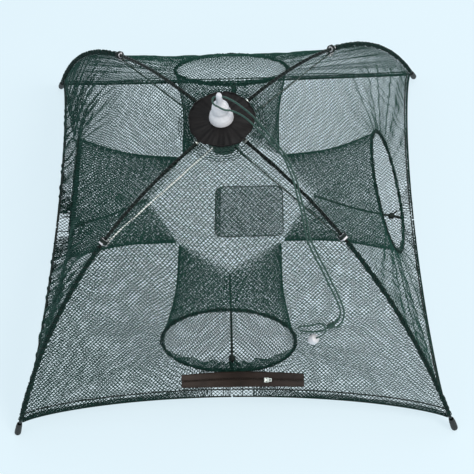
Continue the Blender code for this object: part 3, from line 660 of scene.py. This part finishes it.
def surface_normals(surface, flat):
    """Unit normals of a surface over flat places, pointing to the outside."""
    step = 2e-4
    across = surface(flat + (step, 0)) - surface(flat - (step, 0))
    down = surface(flat + (0, step)) - surface(flat - (0, step))
    return unit(np.cross(down, across))


# --- strands ------------------------------------------------------------------------------------
def wandered(flat, seed):
    """Flat places moved a little, smoothly, so that the rows aren't quite even."""
    x, y = flat[..., 0], flat[..., 1]
    moved = np.zeros_like(flat)
    for k, (length, share) in enumerate(((0.083, 1.6), (0.041, 0.8), (0.017, 0.55), (0.009, 0.35))):
        a, b = 2 * math.pi / length, seed * 1.7 + k
        moved[..., 0] += share * np.sin(a * (x * math.cos(b) + y * math.sin(b)) + b)
        moved[..., 1] += share * np.sin(a * (y * math.cos(b) - x * math.sin(b)) + b * 2.3)
    return flat + moved * WANDER


def jointed(run, rising):
    """A run with each crossing drawn out into a short upright joint that its two strands share."""
    if len(run) < 3:
        return run
    spread = (-JOINT_SPREAD, JOINT_HALF if rising else -JOINT_HALF)
    before = run[1:-1] + spread
    after = run[1:-1] - spread
    inner = np.stack([before, after], 1).reshape(-1, 2)
    return np.vstack([run[:1], inner, run[-1:]])


def cut_runs(flat, clear):
    """The stretches of a row of flat places where clear is above 0, with their ends cut at the edge."""
    runs = []
    inside = clear > 0
    change = np.flatnonzero(np.diff(inside.astype(np.int8)))
    starts = [0] if inside[0] else []
    starts += [k + 1 for k in change if inside[k + 1]]
    stops = [k for k in change if inside[k]]
    stops += [len(flat) - 1] if inside[-1] else []
    for start, stop in zip(starts, stops):
        run = flat[start : stop + 1]
        if start > 0:
            part = clear[start] / (clear[start] - clear[start - 1])
            run = np.vstack([flat[start] + (flat[start - 1] - flat[start]) * part, run])
        if stop < len(flat) - 1:
            part = clear[stop] / (clear[stop] - clear[stop + 1])
            run = np.vstack([run, flat[stop] + (flat[stop + 1] - flat[stop]) * part])
        if len(run) > 1 and np.linalg.norm(run[-1] - run[0]) > 0.0008:
            runs.append(run)
    return runs


def lattice(inside, low, high, pitch, seed=0):
    """Flat strands on both diagonals over the box from low to high, cut to where inside is above 0."""
    step = pitch / math.sqrt(2)
    first = math.floor((low[0] + low[1]) / 2 / step) - 1
    count = math.ceil((high[0] - low[0] + high[1] - low[1]) / 2 / step) + 3
    second = math.floor((low[0] - high[1]) / 2 / step) - 1
    i, j = np.meshgrid(np.arange(first, first + count), np.arange(second, second + count), indexing="ij")
    flat = wandered(np.stack([(i + j) * step, (i - j) * step], -1), seed)
    clear = inside(flat.reshape(-1, 2)).reshape(flat.shape[:2])
    families = []
    for turned in (False, True):
        runs = []
        for k in range(flat.shape[1] if turned else flat.shape[0]):
            row = flat[:, k] if turned else flat[k]
            level = clear[:, k] if turned else clear[k]
            if (level > 0).any():
                runs += [jointed(run, not turned) for run in cut_runs(row, level)]
        families.append(runs)
    return families


STRAND = ((-STRAND_WIDTH / 2, -STRAND_HEIGHT / 3), (0, STRAND_HEIGHT * 2 / 3), (STRAND_WIDTH / 2, -STRAND_HEIGHT / 3))


def strand_fullness(points):
    """Strands are fuller towards the front left, and drawn thinner towards the back right."""
    return 1.0 - 0.66 * points[:, 0] - 0.55 * points[:, 1]


def net_piece(name, surface, families, look, quarters=0, lift=0.0, width=1.0):
    """One piece of netting: strands along the flat runs, laid on a surface and turned to their side."""
    lines, normals = [], []
    for runs, over in zip(families, (0.00012, -0.00012)):
        if not runs:
            continue
        flat = np.concatenate(runs)
        off = surface_normals(surface, flat)
        points = surface(flat) + off * (over + lift)
        points, off = turn_z(points, quarters), turn_z(off, quarters)
        ends = np.cumsum([len(run) for run in runs])[:-1]
        lines += np.split(points, ends)
        normals += np.split(off, ends)
    section = [(sideways * width, off) for sideways, off in STRAND]
    corners, faces = tubes(lines, normals, section, ends=False, width=strand_fullness)
    return mesh_object(name, corners, faces, look)


# --- pieces of the net --------------------------------------------------------------------------
BANDS = (0.0, 0.4615, 0.63, 0.77, 0.875, 1.0)  # shares of the ribs' reach where the pieces of a side meet
BAND_NAMES = ("canopy", "upper", "middle", "lower", "skirt")
BAND_GATHERS = (0, 0.4, 0.8, 1, 1)  # how much of its side's gather each band has, as a power of it


def band_limits(k):
    low = 0.0 if k == 0 else float(np.interp(BANDS[k], SHARES, FALLS))
    high = FALL if k == len(BANDS) - 2 else float(np.interp(BANDS[k + 1], SHARES, FALLS))
    return low, high


def half_side(cloth, k, hand):
    """The inside test of one half of one band of a side."""
    low, high = band_limits(k)

    def inside(flat):
        clear = cloth.inside(flat)
        clear = np.minimum(clear, flat[:, 0] * hand)
        return np.minimum(clear, np.minimum(flat[:, 1] - low, high - flat[:, 1]))

    return inside, low, high


def side_corner(side, hand):
    """The rib at that end of a side: hand 1 is its right end seen from outside."""
    k = SIDES.index(side)
    return CORNERS[k] if hand > 0 else CORNERS[k - 1]


def corner_axes(corner):
    """The outward and sideways directions of the upright plane that a rib turns in."""
    turn = math.radians(90 * CORNERS.index(corner) - 45)
    return np.array((math.cos(turn), math.sin(turn), 0)), np.array((-math.sin(turn), math.cos(turn), 0))


def fold_with_rib(piece, side, hand):
    """Half of a side goes with the rib at its end."""
    corner = side_corner(side, hand)
    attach(piece, "rib_" + corner)
    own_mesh(piece)


def lattice_size(families, pitch):
    """The width, length and area of the flat net that a lattice was cut from."""
    flat = np.concatenate([run for runs in families for run in runs])
    wide, long = np.ptp(flat, axis=0)
    area = sum(len(run) for run in families[0]) / 2 * pitch**2
    return float(wide), float(long), float(area)


def declare_net(families, pitch):
    wide, long, area = lattice_size(families, pitch)
    long = min(long, area / (0.32 * wide))
    area = min(area, 0.999 * wide * long)


def gathered(function, share):
    """The same function of flat places on cloth that is wider by 1 / share, drawn in to the side's width."""
    return lambda flat: function(flat * np.array((share, 1.0)))


def make_side_nets(materials):
    for quarters, side in enumerate(SIDES):
        cloth = Side(side)
        for hand, hand_name in ((1, "right"), (-1, "left")):
            for k, band in enumerate(BAND_NAMES):
                share = GATHER[side] ** BAND_GATHERS[k]
                surface = gathered(cloth.surface, share)
                inside, low, high = half_side(cloth, k, hand)
                wide = float(half_at(high)) / share
                box = ((0, low), (wide, high)) if hand > 0 else ((-wide, low), (0, high))
                families = lattice(gathered(inside, share), box[0], box[1], PITCH, quarters)
                piece = net_piece(f"net_{side}_{hand_name}_{band}", surface, families, materials["net"], quarters)
                fold_with_rib(piece, side, hand)
                declare_net(families, PITCH)
                if hand > 0 and band == "middle":
                    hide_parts("net_" + side)


def throat_points(turns):
    wide = np.sign(np.cos(turns)) * np.abs(np.cos(turns)) ** 0.8
    out = THROAT_REACH + THROAT_NOTCH * (1 - np.abs(wide)) ** 1.1
    return np.stack([THROAT_HALF_WIDTH * wide, -out, THROAT_Z + THROAT_HALF_HEIGHT * np.sin(turns)], -1)


def funnel_surface(side):
    """Maps (turn, part) to the front funnel with this side's hoop: part is 0 at the hoop and 1 at the throat."""

    def surface(flat):
        turns, part = flat[:, 0], flat[:, 1][:, None]
        mouth = hoop_points(side, turns, HOOP_R - HOOP_WIRE_R - 0.0004, 0.0012)
        throat = throat_points(turns)
        waist = 0.006 * np.sin(math.pi * part)
        points = mouth + (throat - mouth) * part
        middle = np.array((0, -0.17, THROAT_Z + 0.004))
        return points + unit(middle - points) * waist

    return surface


FUNNEL_STRANDS = 100
FUNNEL_STEPS = 64
FUNNEL_TURN = 1.62  # how far a strand turns round the funnel from the hoop to the throat


def fold_with_hoop(piece, quarters):
    """What hangs inside a hoop goes with it."""
    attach(piece, "hoop_" + SIDES[quarters])
    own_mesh(piece)


def make_funnel_nets(materials):
    for quarters, side in enumerate(SIDES):
        surface = funnel_surface(side)
        part = np.linspace(0, 1, FUNNEL_STEPS)
        families = []
        for way in (1, -1):
            runs = []
            for k in range(FUNNEL_STRANDS):
                turns = 2 * math.pi * k / FUNNEL_STRANDS + way * FUNNEL_TURN * part
                runs.append(np.stack([turns, part], 1))
            families.append(runs)
        piece = net_piece("net_funnel_" + side, surface, families, materials["net"], quarters, width=0.86)
        fold_with_hoop(piece, quarters)
        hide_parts("funnel_" + side)


def rim_table():
    """The hem's distance from the middle axis and its height, over the turn from a side's middle to its corner."""
    across = np.linspace(0, 1, 200)
    hem = free_side(across, np.full(200, HEM_SHARE))
    return np.arctan2(hem[:, 0], -hem[:, 1]), np.hypot(hem[:, 0], hem[:, 1]), hem[:, 2]


RIM_TURNS, RIM_REACHES, RIM_HEIGHTS = rim_table()


def rim_at(flat):
    turn = np.abs(np.arctan2(flat[:, 0], -flat[:, 1]))
    turn = np.abs((turn + math.pi / 4) % (math.pi / 2) - math.pi / 4)
    return np.interp(turn, RIM_TURNS, RIM_REACHES), np.interp(turn, RIM_TURNS, RIM_HEIGHTS)


def floor_surface(flat):
    reach, height = rim_at(flat)
    ring = np.clip(np.hypot(flat[:, 0], flat[:, 1]) / reach, 0, 1)
    rise = FLOOR_MIDDLE_Z + (height - FLOOR_MIDDLE_Z) * ring**FLOOR_CURL
    return np.stack([flat[:, 0], flat[:, 1], rise], -1)


def fold_with_floor(piece, corner):
    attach(piece, "floor_" + corner)
    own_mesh(piece)


def make_floor_nets(materials):
    for k, corner in enumerate(CORNERS):
        ends = ((1, -1), (1, 1), (-1, 1), (-1, -1))[k]

        def inside(flat):
            reach, _ = rim_at(flat)
            clear = reach - np.hypot(flat[:, 0], flat[:, 1])
            return np.minimum(clear, np.minimum(flat[:, 0] * ends[0], flat[:, 1] * ends[1]))

        low = [min(0, 0.33 * end) for end in ends]
        high = [max(0, 0.33 * end) for end in ends]
        families = lattice(inside, low, high, PITCH, 5)
        piece = net_piece("net_base_" + corner, floor_surface, families, materials["net"])
        fold_with_floor(piece, corner)
        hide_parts("net_floor_" + corner)
        declare_net(families, PITCH)


# --- edges, bindings and bars of the net ----------------------------------------------------------
def wrapped(name, line, radius, strands, slope, look, lumps=0.0, width=STRAND_WIDTH, closed=False):
    """A sleeve of netting round a line: strands turn both ways round it, slope radians for each metre."""
    line = np.asarray(line, float)
    off = level_normals(line)
    along = unit(np.gradient(line, axis=0))
    side = np.cross(along, off)
    run = np.concatenate([[0], np.cumsum(np.linalg.norm(np.diff(line, axis=0), axis=1))])
    swell = np.sin(run / 0.0031) + 0.8 * np.sin(run / 0.0053 + 1) + 0.6 * np.sin(run / 0.0117 + 2)
    if closed:
        swell = swell * np.clip(np.minimum(run, run[-1] - run) / 0.01, 0, 1)
    reach = radius * (1 + lumps * swell)
    lines, normals = [], []
    for way in (1, -1):
        for k in range(strands):
            turn = 2 * math.pi * k / strands + way * slope * run
            outward = off * np.cos(turn)[:, None] + side * np.sin(turn)[:, None]
            lines.append(line + outward * (reach + way * 0.0001)[:, None])
            normals.append(outward)
    section = ((-width / 2, -width / 5), (0, width / 3), (width / 2, -width / 5))
    corners, faces = tubes(lines, normals, section, ends=False)
    return mesh_object(name, corners, faces, look)


def coiled(line, radius, pitch, start=0.0):
    """A helix of that radius round a line, turning once in every pitch."""
    line = even_line(np.asarray(line, float), pitch / 14)
    off = level_normals(line)
    side = np.cross(unit(np.gradient(line, axis=0)), off)
    run = np.linspace(0, 1, len(line)) * (len(line) - 1) * pitch / 14
    turn = start + 2 * math.pi * run / pitch
    return line + (off * np.cos(turn)[:, None] + side * np.sin(turn)[:, None]) * radius


def on_rib(corner, low, high, count):
    reach, height = rib_line(np.linspace(low, high, count))
    out, _ = corner_axes(corner)
    return out * reach[:, None] + np.array((0, 0, 1.0)) * height[:, None]


def make_rib_covers(materials):
    """Below its clip each rod is in a lumpy sleeve of gathered net; above it a cord is laced round it."""
    clip = (CLIP_REACH - HUB_PIN_R) / (RIB_REACH - HUB_PIN_R)
    for corner in CORNERS:
        line = even_line(on_rib(corner, clip + 0.018, 0.968, 300), 0.0016)
        sleeve = wrapped("rib_sleeve_" + corner, line, 0.0029, 7, 230, materials["net_dark"], 0.12)
        lacing = rope("rib_lacing_" + corner, coiled(line, 0.0032, 0.012), 0.0005, materials["thread"], 6)
        upper = even_line(on_rib(corner, 0.085, clip - 0.012, 200), 0.0016)
        whipping = rope("rib_whipping_" + corner, coiled(upper, 0.0021, 0.0070), 0.0006, materials["thread"], 6)
        over_clip = even_line(on_rib(corner, clip - 0.0085, clip + 0.0030, 12), 0.0016)
        lashing = rope("clip_lashing_" + corner, coiled(over_clip, 0.0052, 0.0016), 0.0008, materials["thread"], 6)
        for piece in (sleeve, lacing, whipping, lashing):
            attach(piece, "rib_" + corner)


def hem_line(hand, count, share=HEM_SHARE, drop=0.0):
    across = np.linspace(0.004, 0.992, count) * hand
    line = free_side(across, np.full(count, share))
    return line + np.array((0, 0, -drop))


def make_hems(materials):
    """A dark doubled band of net round the bottom of each side, with a cord along both its edges."""
    for quarters, side in enumerate(SIDES):
        cloth = Side(side)
        for hand, hand_name in ((1, "right"), (-1, "left")):

            def inside(flat):
                clear = np.minimum(flat[:, 0] * hand, half_at(flat[:, 1]) - np.abs(flat[:, 0]))
                return np.minimum(clear, np.minimum(flat[:, 1] - FALL + HEM_WIDTH, FALL - flat[:, 1]))

            wide = float(HALVES[-1])
            low = (0 if hand > 0 else -wide, FALL - HEM_WIDTH)
            high = (wide if hand > 0 else 0, FALL)
            name = f"hem_{side}_{hand_name}"
            families = lattice(inside, low, high, 0.0021, quarters)
            band = net_piece(name, cloth.surface, families, materials["net_dark"], quarters, 0.0008)
            fold_with_rib(band, side, hand)
            for label, share, radius in (("top", HEM_SHARE - 0.022, 0.0011), ("bottom", HEM_SHARE, 0.0013)):
                line = turn_z(even_line(hem_line(hand, 160, share), 0.0015), quarters)
                edge = rope(f"{name}_{label}", line, radius, materials["thread"], 8, 2, 0.008)
                fold_with_rib(edge, side, hand)


def make_gathers(materials):
    """Rows of gathering thread round the hub, just outside the patch, where the canopy is drawn in."""
    for quarters, side in enumerate(SIDES):
        for hand, hand_name in ((1, "right"), (-1, "left")):
            lines, normals = [], []
            for row in range(5):
                reach = PATCH_R + 0.0022 + 0.0034 * row
                turns = np.linspace(0.01, math.pi / 4 - 0.02, 40) * hand
                ring = np.stack([np.sin(turns), -np.cos(turns)], 1) * (reach + 0.0006 * np.sin(40 * turns + row))[:, None]
                share = share_of_spot(ring)
                points = free_side(ring[:, 0] / (-ring[:, 1]), share)
                points = points + np.array((0, 0, 0.0007))
                lines.append(turn_z(points, quarters))
                normals.append(np.tile((0, 0, 1.0), (len(points), 1)))
            section = round_section(0.00055, 6)
            corners, faces = tubes(lines, normals, section)
            piece = mesh_object(f"gathers_{side}_{hand_name}", corners, faces, materials["net_dark"])
            fold_with_rib(piece, side, hand)


def share_of_spot(spots):
    """The share of the ribs' reach of places seen from above on the front side's canopy."""
    return np.interp(-spots[:, 1], HALVES, SHARES)


def make_hoop_bindings(materials):
    """Net gathered round each hoop's wire, and on the front one a deeper dark crescent along its bottom."""
    for quarters, side in enumerate(SIDES):
        turns = np.linspace(-math.pi / 2, 1.5 * math.pi, 420)
        ring = turn_z(hoop_points(side, turns, HOOP_R, -0.0002), quarters)
        binding = wrapped("hoop_binding_" + side, ring, 0.0021, 6, 260, materials["net_dark"], 0.20, closed=True)
        lacing = rope("hoop_lacing_" + side, coiled(ring, 0.0024, 0.013), 0.0005, materials["thread"], 6)
        for piece in (binding, lacing):
            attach(piece, "hoop_" + side)
        crescent = make_crescent(side, quarters, materials)
        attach(crescent, "hoop_" + side)


def make_crescent(side, quarters, materials):
    """The slack of the funnel's mouth, bunched along the bottom of the hoop."""
    deep = 0.034 if side == "front" else 0.016
    step = 0.0024
    middle = -math.pi / 2

    def surface(flat):
        turns = middle + flat[:, 0] / HOOP_R
        inward = flat[:, 1]
        points = hoop_points(side, turns, HOOP_R - 0.001, 0.0)
        _, up, out = hoop_axes(side)
        toward = unit(hoop_axes(side)[0] - points)
        slump = 0.0022 * np.sin(flat[:, 0] / 0.0036 + 3 * np.sin(flat[:, 0] / 0.021))
        return points + toward * inward[:, None] + out * (0.0015 + slump * inward / deep)[:, None]

    def inside(flat):
        share = flat[:, 0] / half
        depth = deep * np.clip(1 - share**2, 0, 1) * (1 + 0.07 * np.sin(flat[:, 0] / 0.008))
        return np.minimum(depth - flat[:, 1], flat[:, 1])

    half = HOOP_R * 1.45
    families = lattice(inside, (-half, 0), (half, deep * 1.3), step, quarters)
    return net_piece("hoop_gather_" + side, surface, families, materials["net"], quarters)


def make_ties(materials):
    """A dark string from each funnel's notch, out along its middle to the hoop, with a knot and two tails."""
    for quarters, side in enumerate(SIDES):
        middle, up, out = hoop_axes(side)
        start = np.array((0, -THROAT_REACH - THROAT_NOTCH + 0.002, THROAT_Z))
        end = middle - up * (HOOP_R - 0.004) - out * 0.001
        sag = np.array((0, 0, -0.006))
        line = smooth_line([start, start * 0.5 + end * 0.5 + sag, end * 0.9 + start * 0.1, end], 0.0012)
        string = rope("tie_string_" + side, turn_z(line, quarters), 0.0018, materials["thread"], 10, 2, 0.009)
        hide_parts("tie_" + side)
        knot_at = line[int(len(line) * 0.88)]
        knot = []
        for k in range(90):
            turn = 2 * math.pi * k / 30
            around = (0.0032 * math.cos(turn), (k - 45) / 45 * 0.0034, 0.0032 * math.sin(turn))
            knot.append(knot_at + np.array(around))
        tails = [smooth_line([knot_at, knot_at + (0.004, -0.006, 0.004), knot_at + (0.009, -0.010, 0.000)], 0.001),
                 smooth_line([knot_at, knot_at + (-0.003, -0.007, 0.004), knot_at + (-0.002, -0.014, -0.001)], 0.001)]
        pieces = [string, rope("tie_knot_" + side, turn_z(np.array(knot), quarters), 0.0017, materials["thread"], 8)]
        for k, tail in enumerate(tails):
            pieces.append(rope(f"tie_tail_{side}_{k}", turn_z(tail, quarters), 0.0014, materials["thread"], 8))
        for piece in pieces:
            fold_with_hoop(piece, quarters)


# --- patch, zip and bait pocket -------------------------------------------------------------------
def make_patch(materials):
    """The round of dark cloth under the cone: soft folds run out from its middle, and its edge is uneven."""
    rings, around = 22, 240
    turns = np.arange(around) * 2 * math.pi / around
    reach = np.linspace(0.0050, 1, rings)[:, None] * PATCH_R
    reach = reach * (1 + 0.014 * np.sin(5 * turns + 1) + 0.010 * np.sin(11 * turns) + 0.006 * np.sin(23 * turns))
    share = reach / PATCH_R
    waves = np.sin(9 * turns + 0.6) + 0.8 * np.sin(17 * turns + 1.9) + 0.6 * np.sin(31 * turns + 2 * share)
    height = PATCH_Z + 0.0003 + 0.00042 * waves * share**1.5 - 0.0016 * share**4
    points = []
    for lift in (0.0, -0.0008):
        ring = np.stack([reach * np.cos(turns), reach * np.sin(turns), height + lift], -1)
        points.append(ring.reshape(-1, 3))
    at = (np.arange(rings - 1)[:, None] * around + np.arange(around)).ravel()
    after = (np.arange(rings - 1)[:, None] * around + (np.arange(around) + 1) % around).ravel()
    top = np.stack([at, after, after + around, at + around], 1)
    below = top[:, ::-1] + rings * around
    outer = (rings - 1) * around + np.arange(around)
    follows = (rings - 1) * around + (np.arange(around) + 1) % around
    rim = np.stack([outer, outer + rings * around, follows + rings * around, follows], 1)
    inner = np.arange(around)
    next_inner = (np.arange(around) + 1) % around
    middle = np.stack([next_inner, next_inner + rings * around, inner + rings * around, inner], 1)
    top = top[:, ::-1]
    below = below[:, ::-1]
    patch = mesh_object("patch_cloth", np.concatenate(points), [top, below, rim, middle], materials["patch"])
    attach(patch, "hub")
    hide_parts("hub_patch")
    turns = np.linspace(0, 2 * math.pi, 300)
    uneven = PATCH_R * 0.985 * (1 + 0.014 * np.sin(5 * turns + 1) + 0.010 * np.sin(11 * turns) + 0.006 * np.sin(23 * turns))
    edge = np.stack([uneven * np.cos(turns), uneven * np.sin(turns), np.full(300, PATCH_Z - 0.0012)], 1)
    binding = rope("patch_binding", edge, 0.0009, materials["patch"], 8)
    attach(binding, "hub")


def zip_edges(x):
    """The tape's upper and lower edge at places along the front side; it dips in the middle."""
    rise = np.hypot(x, ZIP_DIP) - ZIP_DIP
    inner = np.stack([x, -0.2552 - 0.165 * rise, 0.0503 + 0.43 * rise], -1)
    outer = np.stack([x, -0.2764 - 0.085 * rise, 0.0535 + 0.22 * rise], -1)
    return inner, outer


def zip_point(x, part):
    """On the tape: part is 0 at its upper edge, which bulges in the middle, and 1 at its lower edge."""
    inner, outer = zip_edges(x)
    middle = (x - (ZIP_LEFT + ZIP_RIGHT) / 2) / ((ZIP_RIGHT - ZIP_LEFT) / 2)
    bulge = 0.18 * np.clip(1 - middle**2, 0, 1)
    part = part * (1 + bulge) - bulge
    return inner + (outer - inner) * part[:, None]


def zip_normals(x):
    inner, outer = zip_edges(x)
    along = np.gradient((inner + outer) / 2, axis=0)
    off = unit(np.cross(along, inner - outer))
    return off * np.sign(off[:, 2:3])


def zip_rope(name, part, lift, radius, look, sides=8):
    x = np.linspace(ZIP_LEFT + 0.001, ZIP_RIGHT - 0.001, 150)
    line = zip_point(x, np.full(150, part)) + zip_normals(x) * lift
    piece = rope(name, line, radius, look, sides)
    fold_zip(piece)
    return piece


def fold_zip(piece):
    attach(piece, "hoop_front")
    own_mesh(piece)


def make_zip(materials):
    """Brown woven tape, two coils of teeth along its middle, and a row of stitches along each edge."""
    long, wide = 150, 13
    x = np.linspace(ZIP_LEFT, ZIP_RIGHT, long)
    off = zip_normals(x)
    rows = []
    for lift in (0.0004, -0.0004):
        for part in np.linspace(0, 1, wide):
            wave = 0.00015 * np.sin(x / 0.0052 + 4 * part)
            rows.append(zip_point(x, np.full(long, part)) + off * (lift + wave)[:, None])
    points = np.concatenate(rows)
    index = np.arange(2 * wide * long).reshape(2, wide, long)
    top = np.stack([index[0, :-1, :-1], index[0, :-1, 1:], index[0, 1:, 1:], index[0, 1:, :-1]], -1).reshape(-1, 4)
    low = np.stack([index[1, :-1, :-1], index[1, :-1, 1:], index[1, 1:, 1:], index[1, 1:, :-1]], -1).reshape(-1, 4)
    edge = np.concatenate([index[0, 0], index[0, 1:, -1], index[0, -1, -2::-1], index[0, -2:0:-1, 0]])
    under = edge + wide * long
    rim = np.stack([edge, np.roll(edge, -1), np.roll(under, -1), under], 1)
    tape = mesh_object("zip_cloth", points, [top[:, ::-1], low, rim], materials["tape"])
    fold_zip(tape)
    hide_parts("zip_tape")
    for hand in (-1, 1):
        core = zip_point(x, np.full(long, 0.5 + 0.035 * hand)) + off * 0.0013
        coil = rope(f"zip_coil_{'left' if hand < 0 else 'right'}", coiled(core, 0.0007, 0.0018), 0.00025,
                    materials["coil"], 5)
        fold_zip(coil)
    stitches, normals = [], []
    for part in (0.08, 0.92):
        for k in range(60):
            start = ZIP_LEFT + 0.003 + k * (ZIP_RIGHT - ZIP_LEFT - 0.006) / 60
            spots = np.linspace(start, start + 0.0018, 4)
            stitches.append(zip_point(spots, np.full(4, part)) + zip_normals(spots) * 0.0010)
            normals.append(zip_normals(spots))
    corners, faces = tubes(stitches, normals, round_section(0.00028, 5))
    fold_zip(mesh_object("zip_stitches", corners, faces, materials["stitch"]))


def make_pocket(materials):
    """A bait pocket of closer net, sewn to the floor, with a doubled band down its left edge."""
    low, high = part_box("bait_pocket")
    corner_r = 0.012
    level = (low[2] + high[2]) / 2

    def surface(flat):
        swell = 0.0006 * np.sin(flat[:, 0] / 0.011) * np.sin(flat[:, 1] / 0.013)
        return np.stack([flat[:, 0], flat[:, 1], level + swell], -1)

    def inside_from(left):
        def inside(flat):
            middle = np.array(((left + high[0]) / 2, (low[1] + high[1]) / 2))
            half = np.array(((high[0] - left) / 2, (high[1] - low[1]) / 2)) - corner_r
            away = np.abs(flat - middle) - half
            return corner_r - np.hypot(np.maximum(away[:, 0], 0), np.maximum(away[:, 1], 0)) - np.minimum(
                np.maximum(away[:, 0], away[:, 1]), 0)
        return inside

    families = lattice(inside_from(low[0]), low[:2], high[:2], POCKET_PITCH, 8)
    cloth = net_piece("pocket_net", surface, families, materials["net_dark"])
    fold_with_floor(cloth, "back_right")
    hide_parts("bait_pocket")
    declare_net(families, POCKET_PITCH)

    def band_inside(flat):
        return np.minimum(inside_from(low[0])(flat), low[0] + 0.009 - flat[:, 0])

    families = lattice(band_inside, low[:2], (low[0] + 0.009, high[1]), 0.0022, 9)
    fold_with_floor(net_piece("pocket_band", surface, families, materials["net_dark"], 0, 0.0006), "back_right")
    outline = []
    for quarter, (x, y) in enumerate(((high[0], high[1]), (low[0], high[1]), (low[0], low[1]), (high[0], low[1]))):
        middle = (x - math.copysign(corner_r, x - (low[0] + high[0]) / 2),
                  y - math.copysign(corner_r, y - (low[1] + high[1]) / 2))
        for step in range(7):
            turn = math.radians(90 * quarter + 15 * step)
            outline.append((middle[0] + corner_r * math.cos(turn), middle[1] + corner_r * math.sin(turn), level))
    outline.append(outline[0])
    seam = rope("pocket_seam", even_line(np.array(outline), 0.002), 0.0009, materials["thread"], 8, 2, 0.006)
    fold_with_floor(seam, "back_right")


# --- cord ---------------------------------------------------------------------------------------
def bend_with_rib(piece):
    """The cord starts at the hub and lies on the front right of the net; its place is baked into its points."""
    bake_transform(piece)


def make_cord(materials):
    first = smooth_line(np.array(STRAND_ROUTE) / 1000, 0.0012)
    second = smooth_line(np.array(SECOND_STRAND_ROUTE) / 1000, 0.0012)
    knot = make_knot(materials)
    stop = make_cord_stop(first, materials)
    for name, line, node, end in (("pull_cord", first, "cord_strand", "fitting"),
                                  ("pull_cord_second", second, "cord_strand_second", "object")):
        strand = rope(name, line, CORD_R, materials["cord"], 12, 3, 0.009)
        bend_with_rib(strand)
        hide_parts(node)


def make_knot(materials):
    """Three turns of the cord drawn up round both strands."""
    middle = np.array(STRAND_ROUTE[KNOT_AT]) / 1000
    along = unit(np.array(STRAND_ROUTE[KNOT_AT + 1]) - np.array(STRAND_ROUTE[KNOT_AT - 1]))
    line = np.array([middle - along * 0.0038, middle + along * 0.0038])
    turns = coiled(line, 0.0033, 0.0026)
    knot = rope("cord_knot_turns", turns, 0.0013, materials["cord"], 10, 3, 0.009)
    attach(knot, "rib_front_right")
    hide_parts("cord_knot")
    return knot


def make_cord_stop(line, materials):
    """The white barrel on the cord's end, turned about the cord, with a groove near each end."""
    end = line[-1]
    along = unit(line[-1] - line[-4])
    side = unit(np.cross(along, (0, 0, 1.0)))
    up = np.cross(side, along)
    profile = ((0.0, 0.0003), (0.0030, 0.0003), (0.0052, 0.0010), (0.0062, 0.0020), (0.0068, 0.0034), (0.0064, 0.0038),
               (0.0070, 0.0044), (0.0072, 0.0066), (0.0070, 0.0088), (0.0064, 0.0094), (0.0068, 0.0098),
               (0.0062, 0.0116), (0.0050, 0.0126), (0.0030, 0.0132), (0.0, 0.0132))
    around = 40
    turns = np.arange(around) * 2 * math.pi / around
    rings = []
    for radius, far in profile:
        ring = side * np.cos(turns)[:, None] + up * np.sin(turns)[:, None]
        rings.append(end + along * far + ring * max(radius, 0.00002))
    at = (np.arange(len(profile) - 1)[:, None] * around + np.arange(around)).ravel()
    after = (np.arange(len(profile) - 1)[:, None] * around + (np.arange(around) + 1) % around).ravel()
    faces = np.stack([at, at + around, after + around, after], 1)
    caps = np.stack([np.arange(around), (len(profile) - 1) * around + np.arange(around)[::-1]])
    stop = mesh_object("cord_stop", np.concatenate(rings), [faces, caps], materials["plastic"])
    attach(stop, "rib_front_right")
    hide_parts("cord_end")
    return stop


def main():
    make_camera()
    make_stage()
    materials = make_materials()
    paint_nodes(materials)
    make_cord(materials)
    make_side_nets(materials)
    make_funnel_nets(materials)
    make_floor_nets(materials)
    make_rib_covers(materials)
    make_hems(materials)
    make_gathers(materials)
    make_hoop_bindings(materials)
    make_ties(materials)
    make_patch(materials)
    make_zip(materials)
    make_pocket(materials)


main()
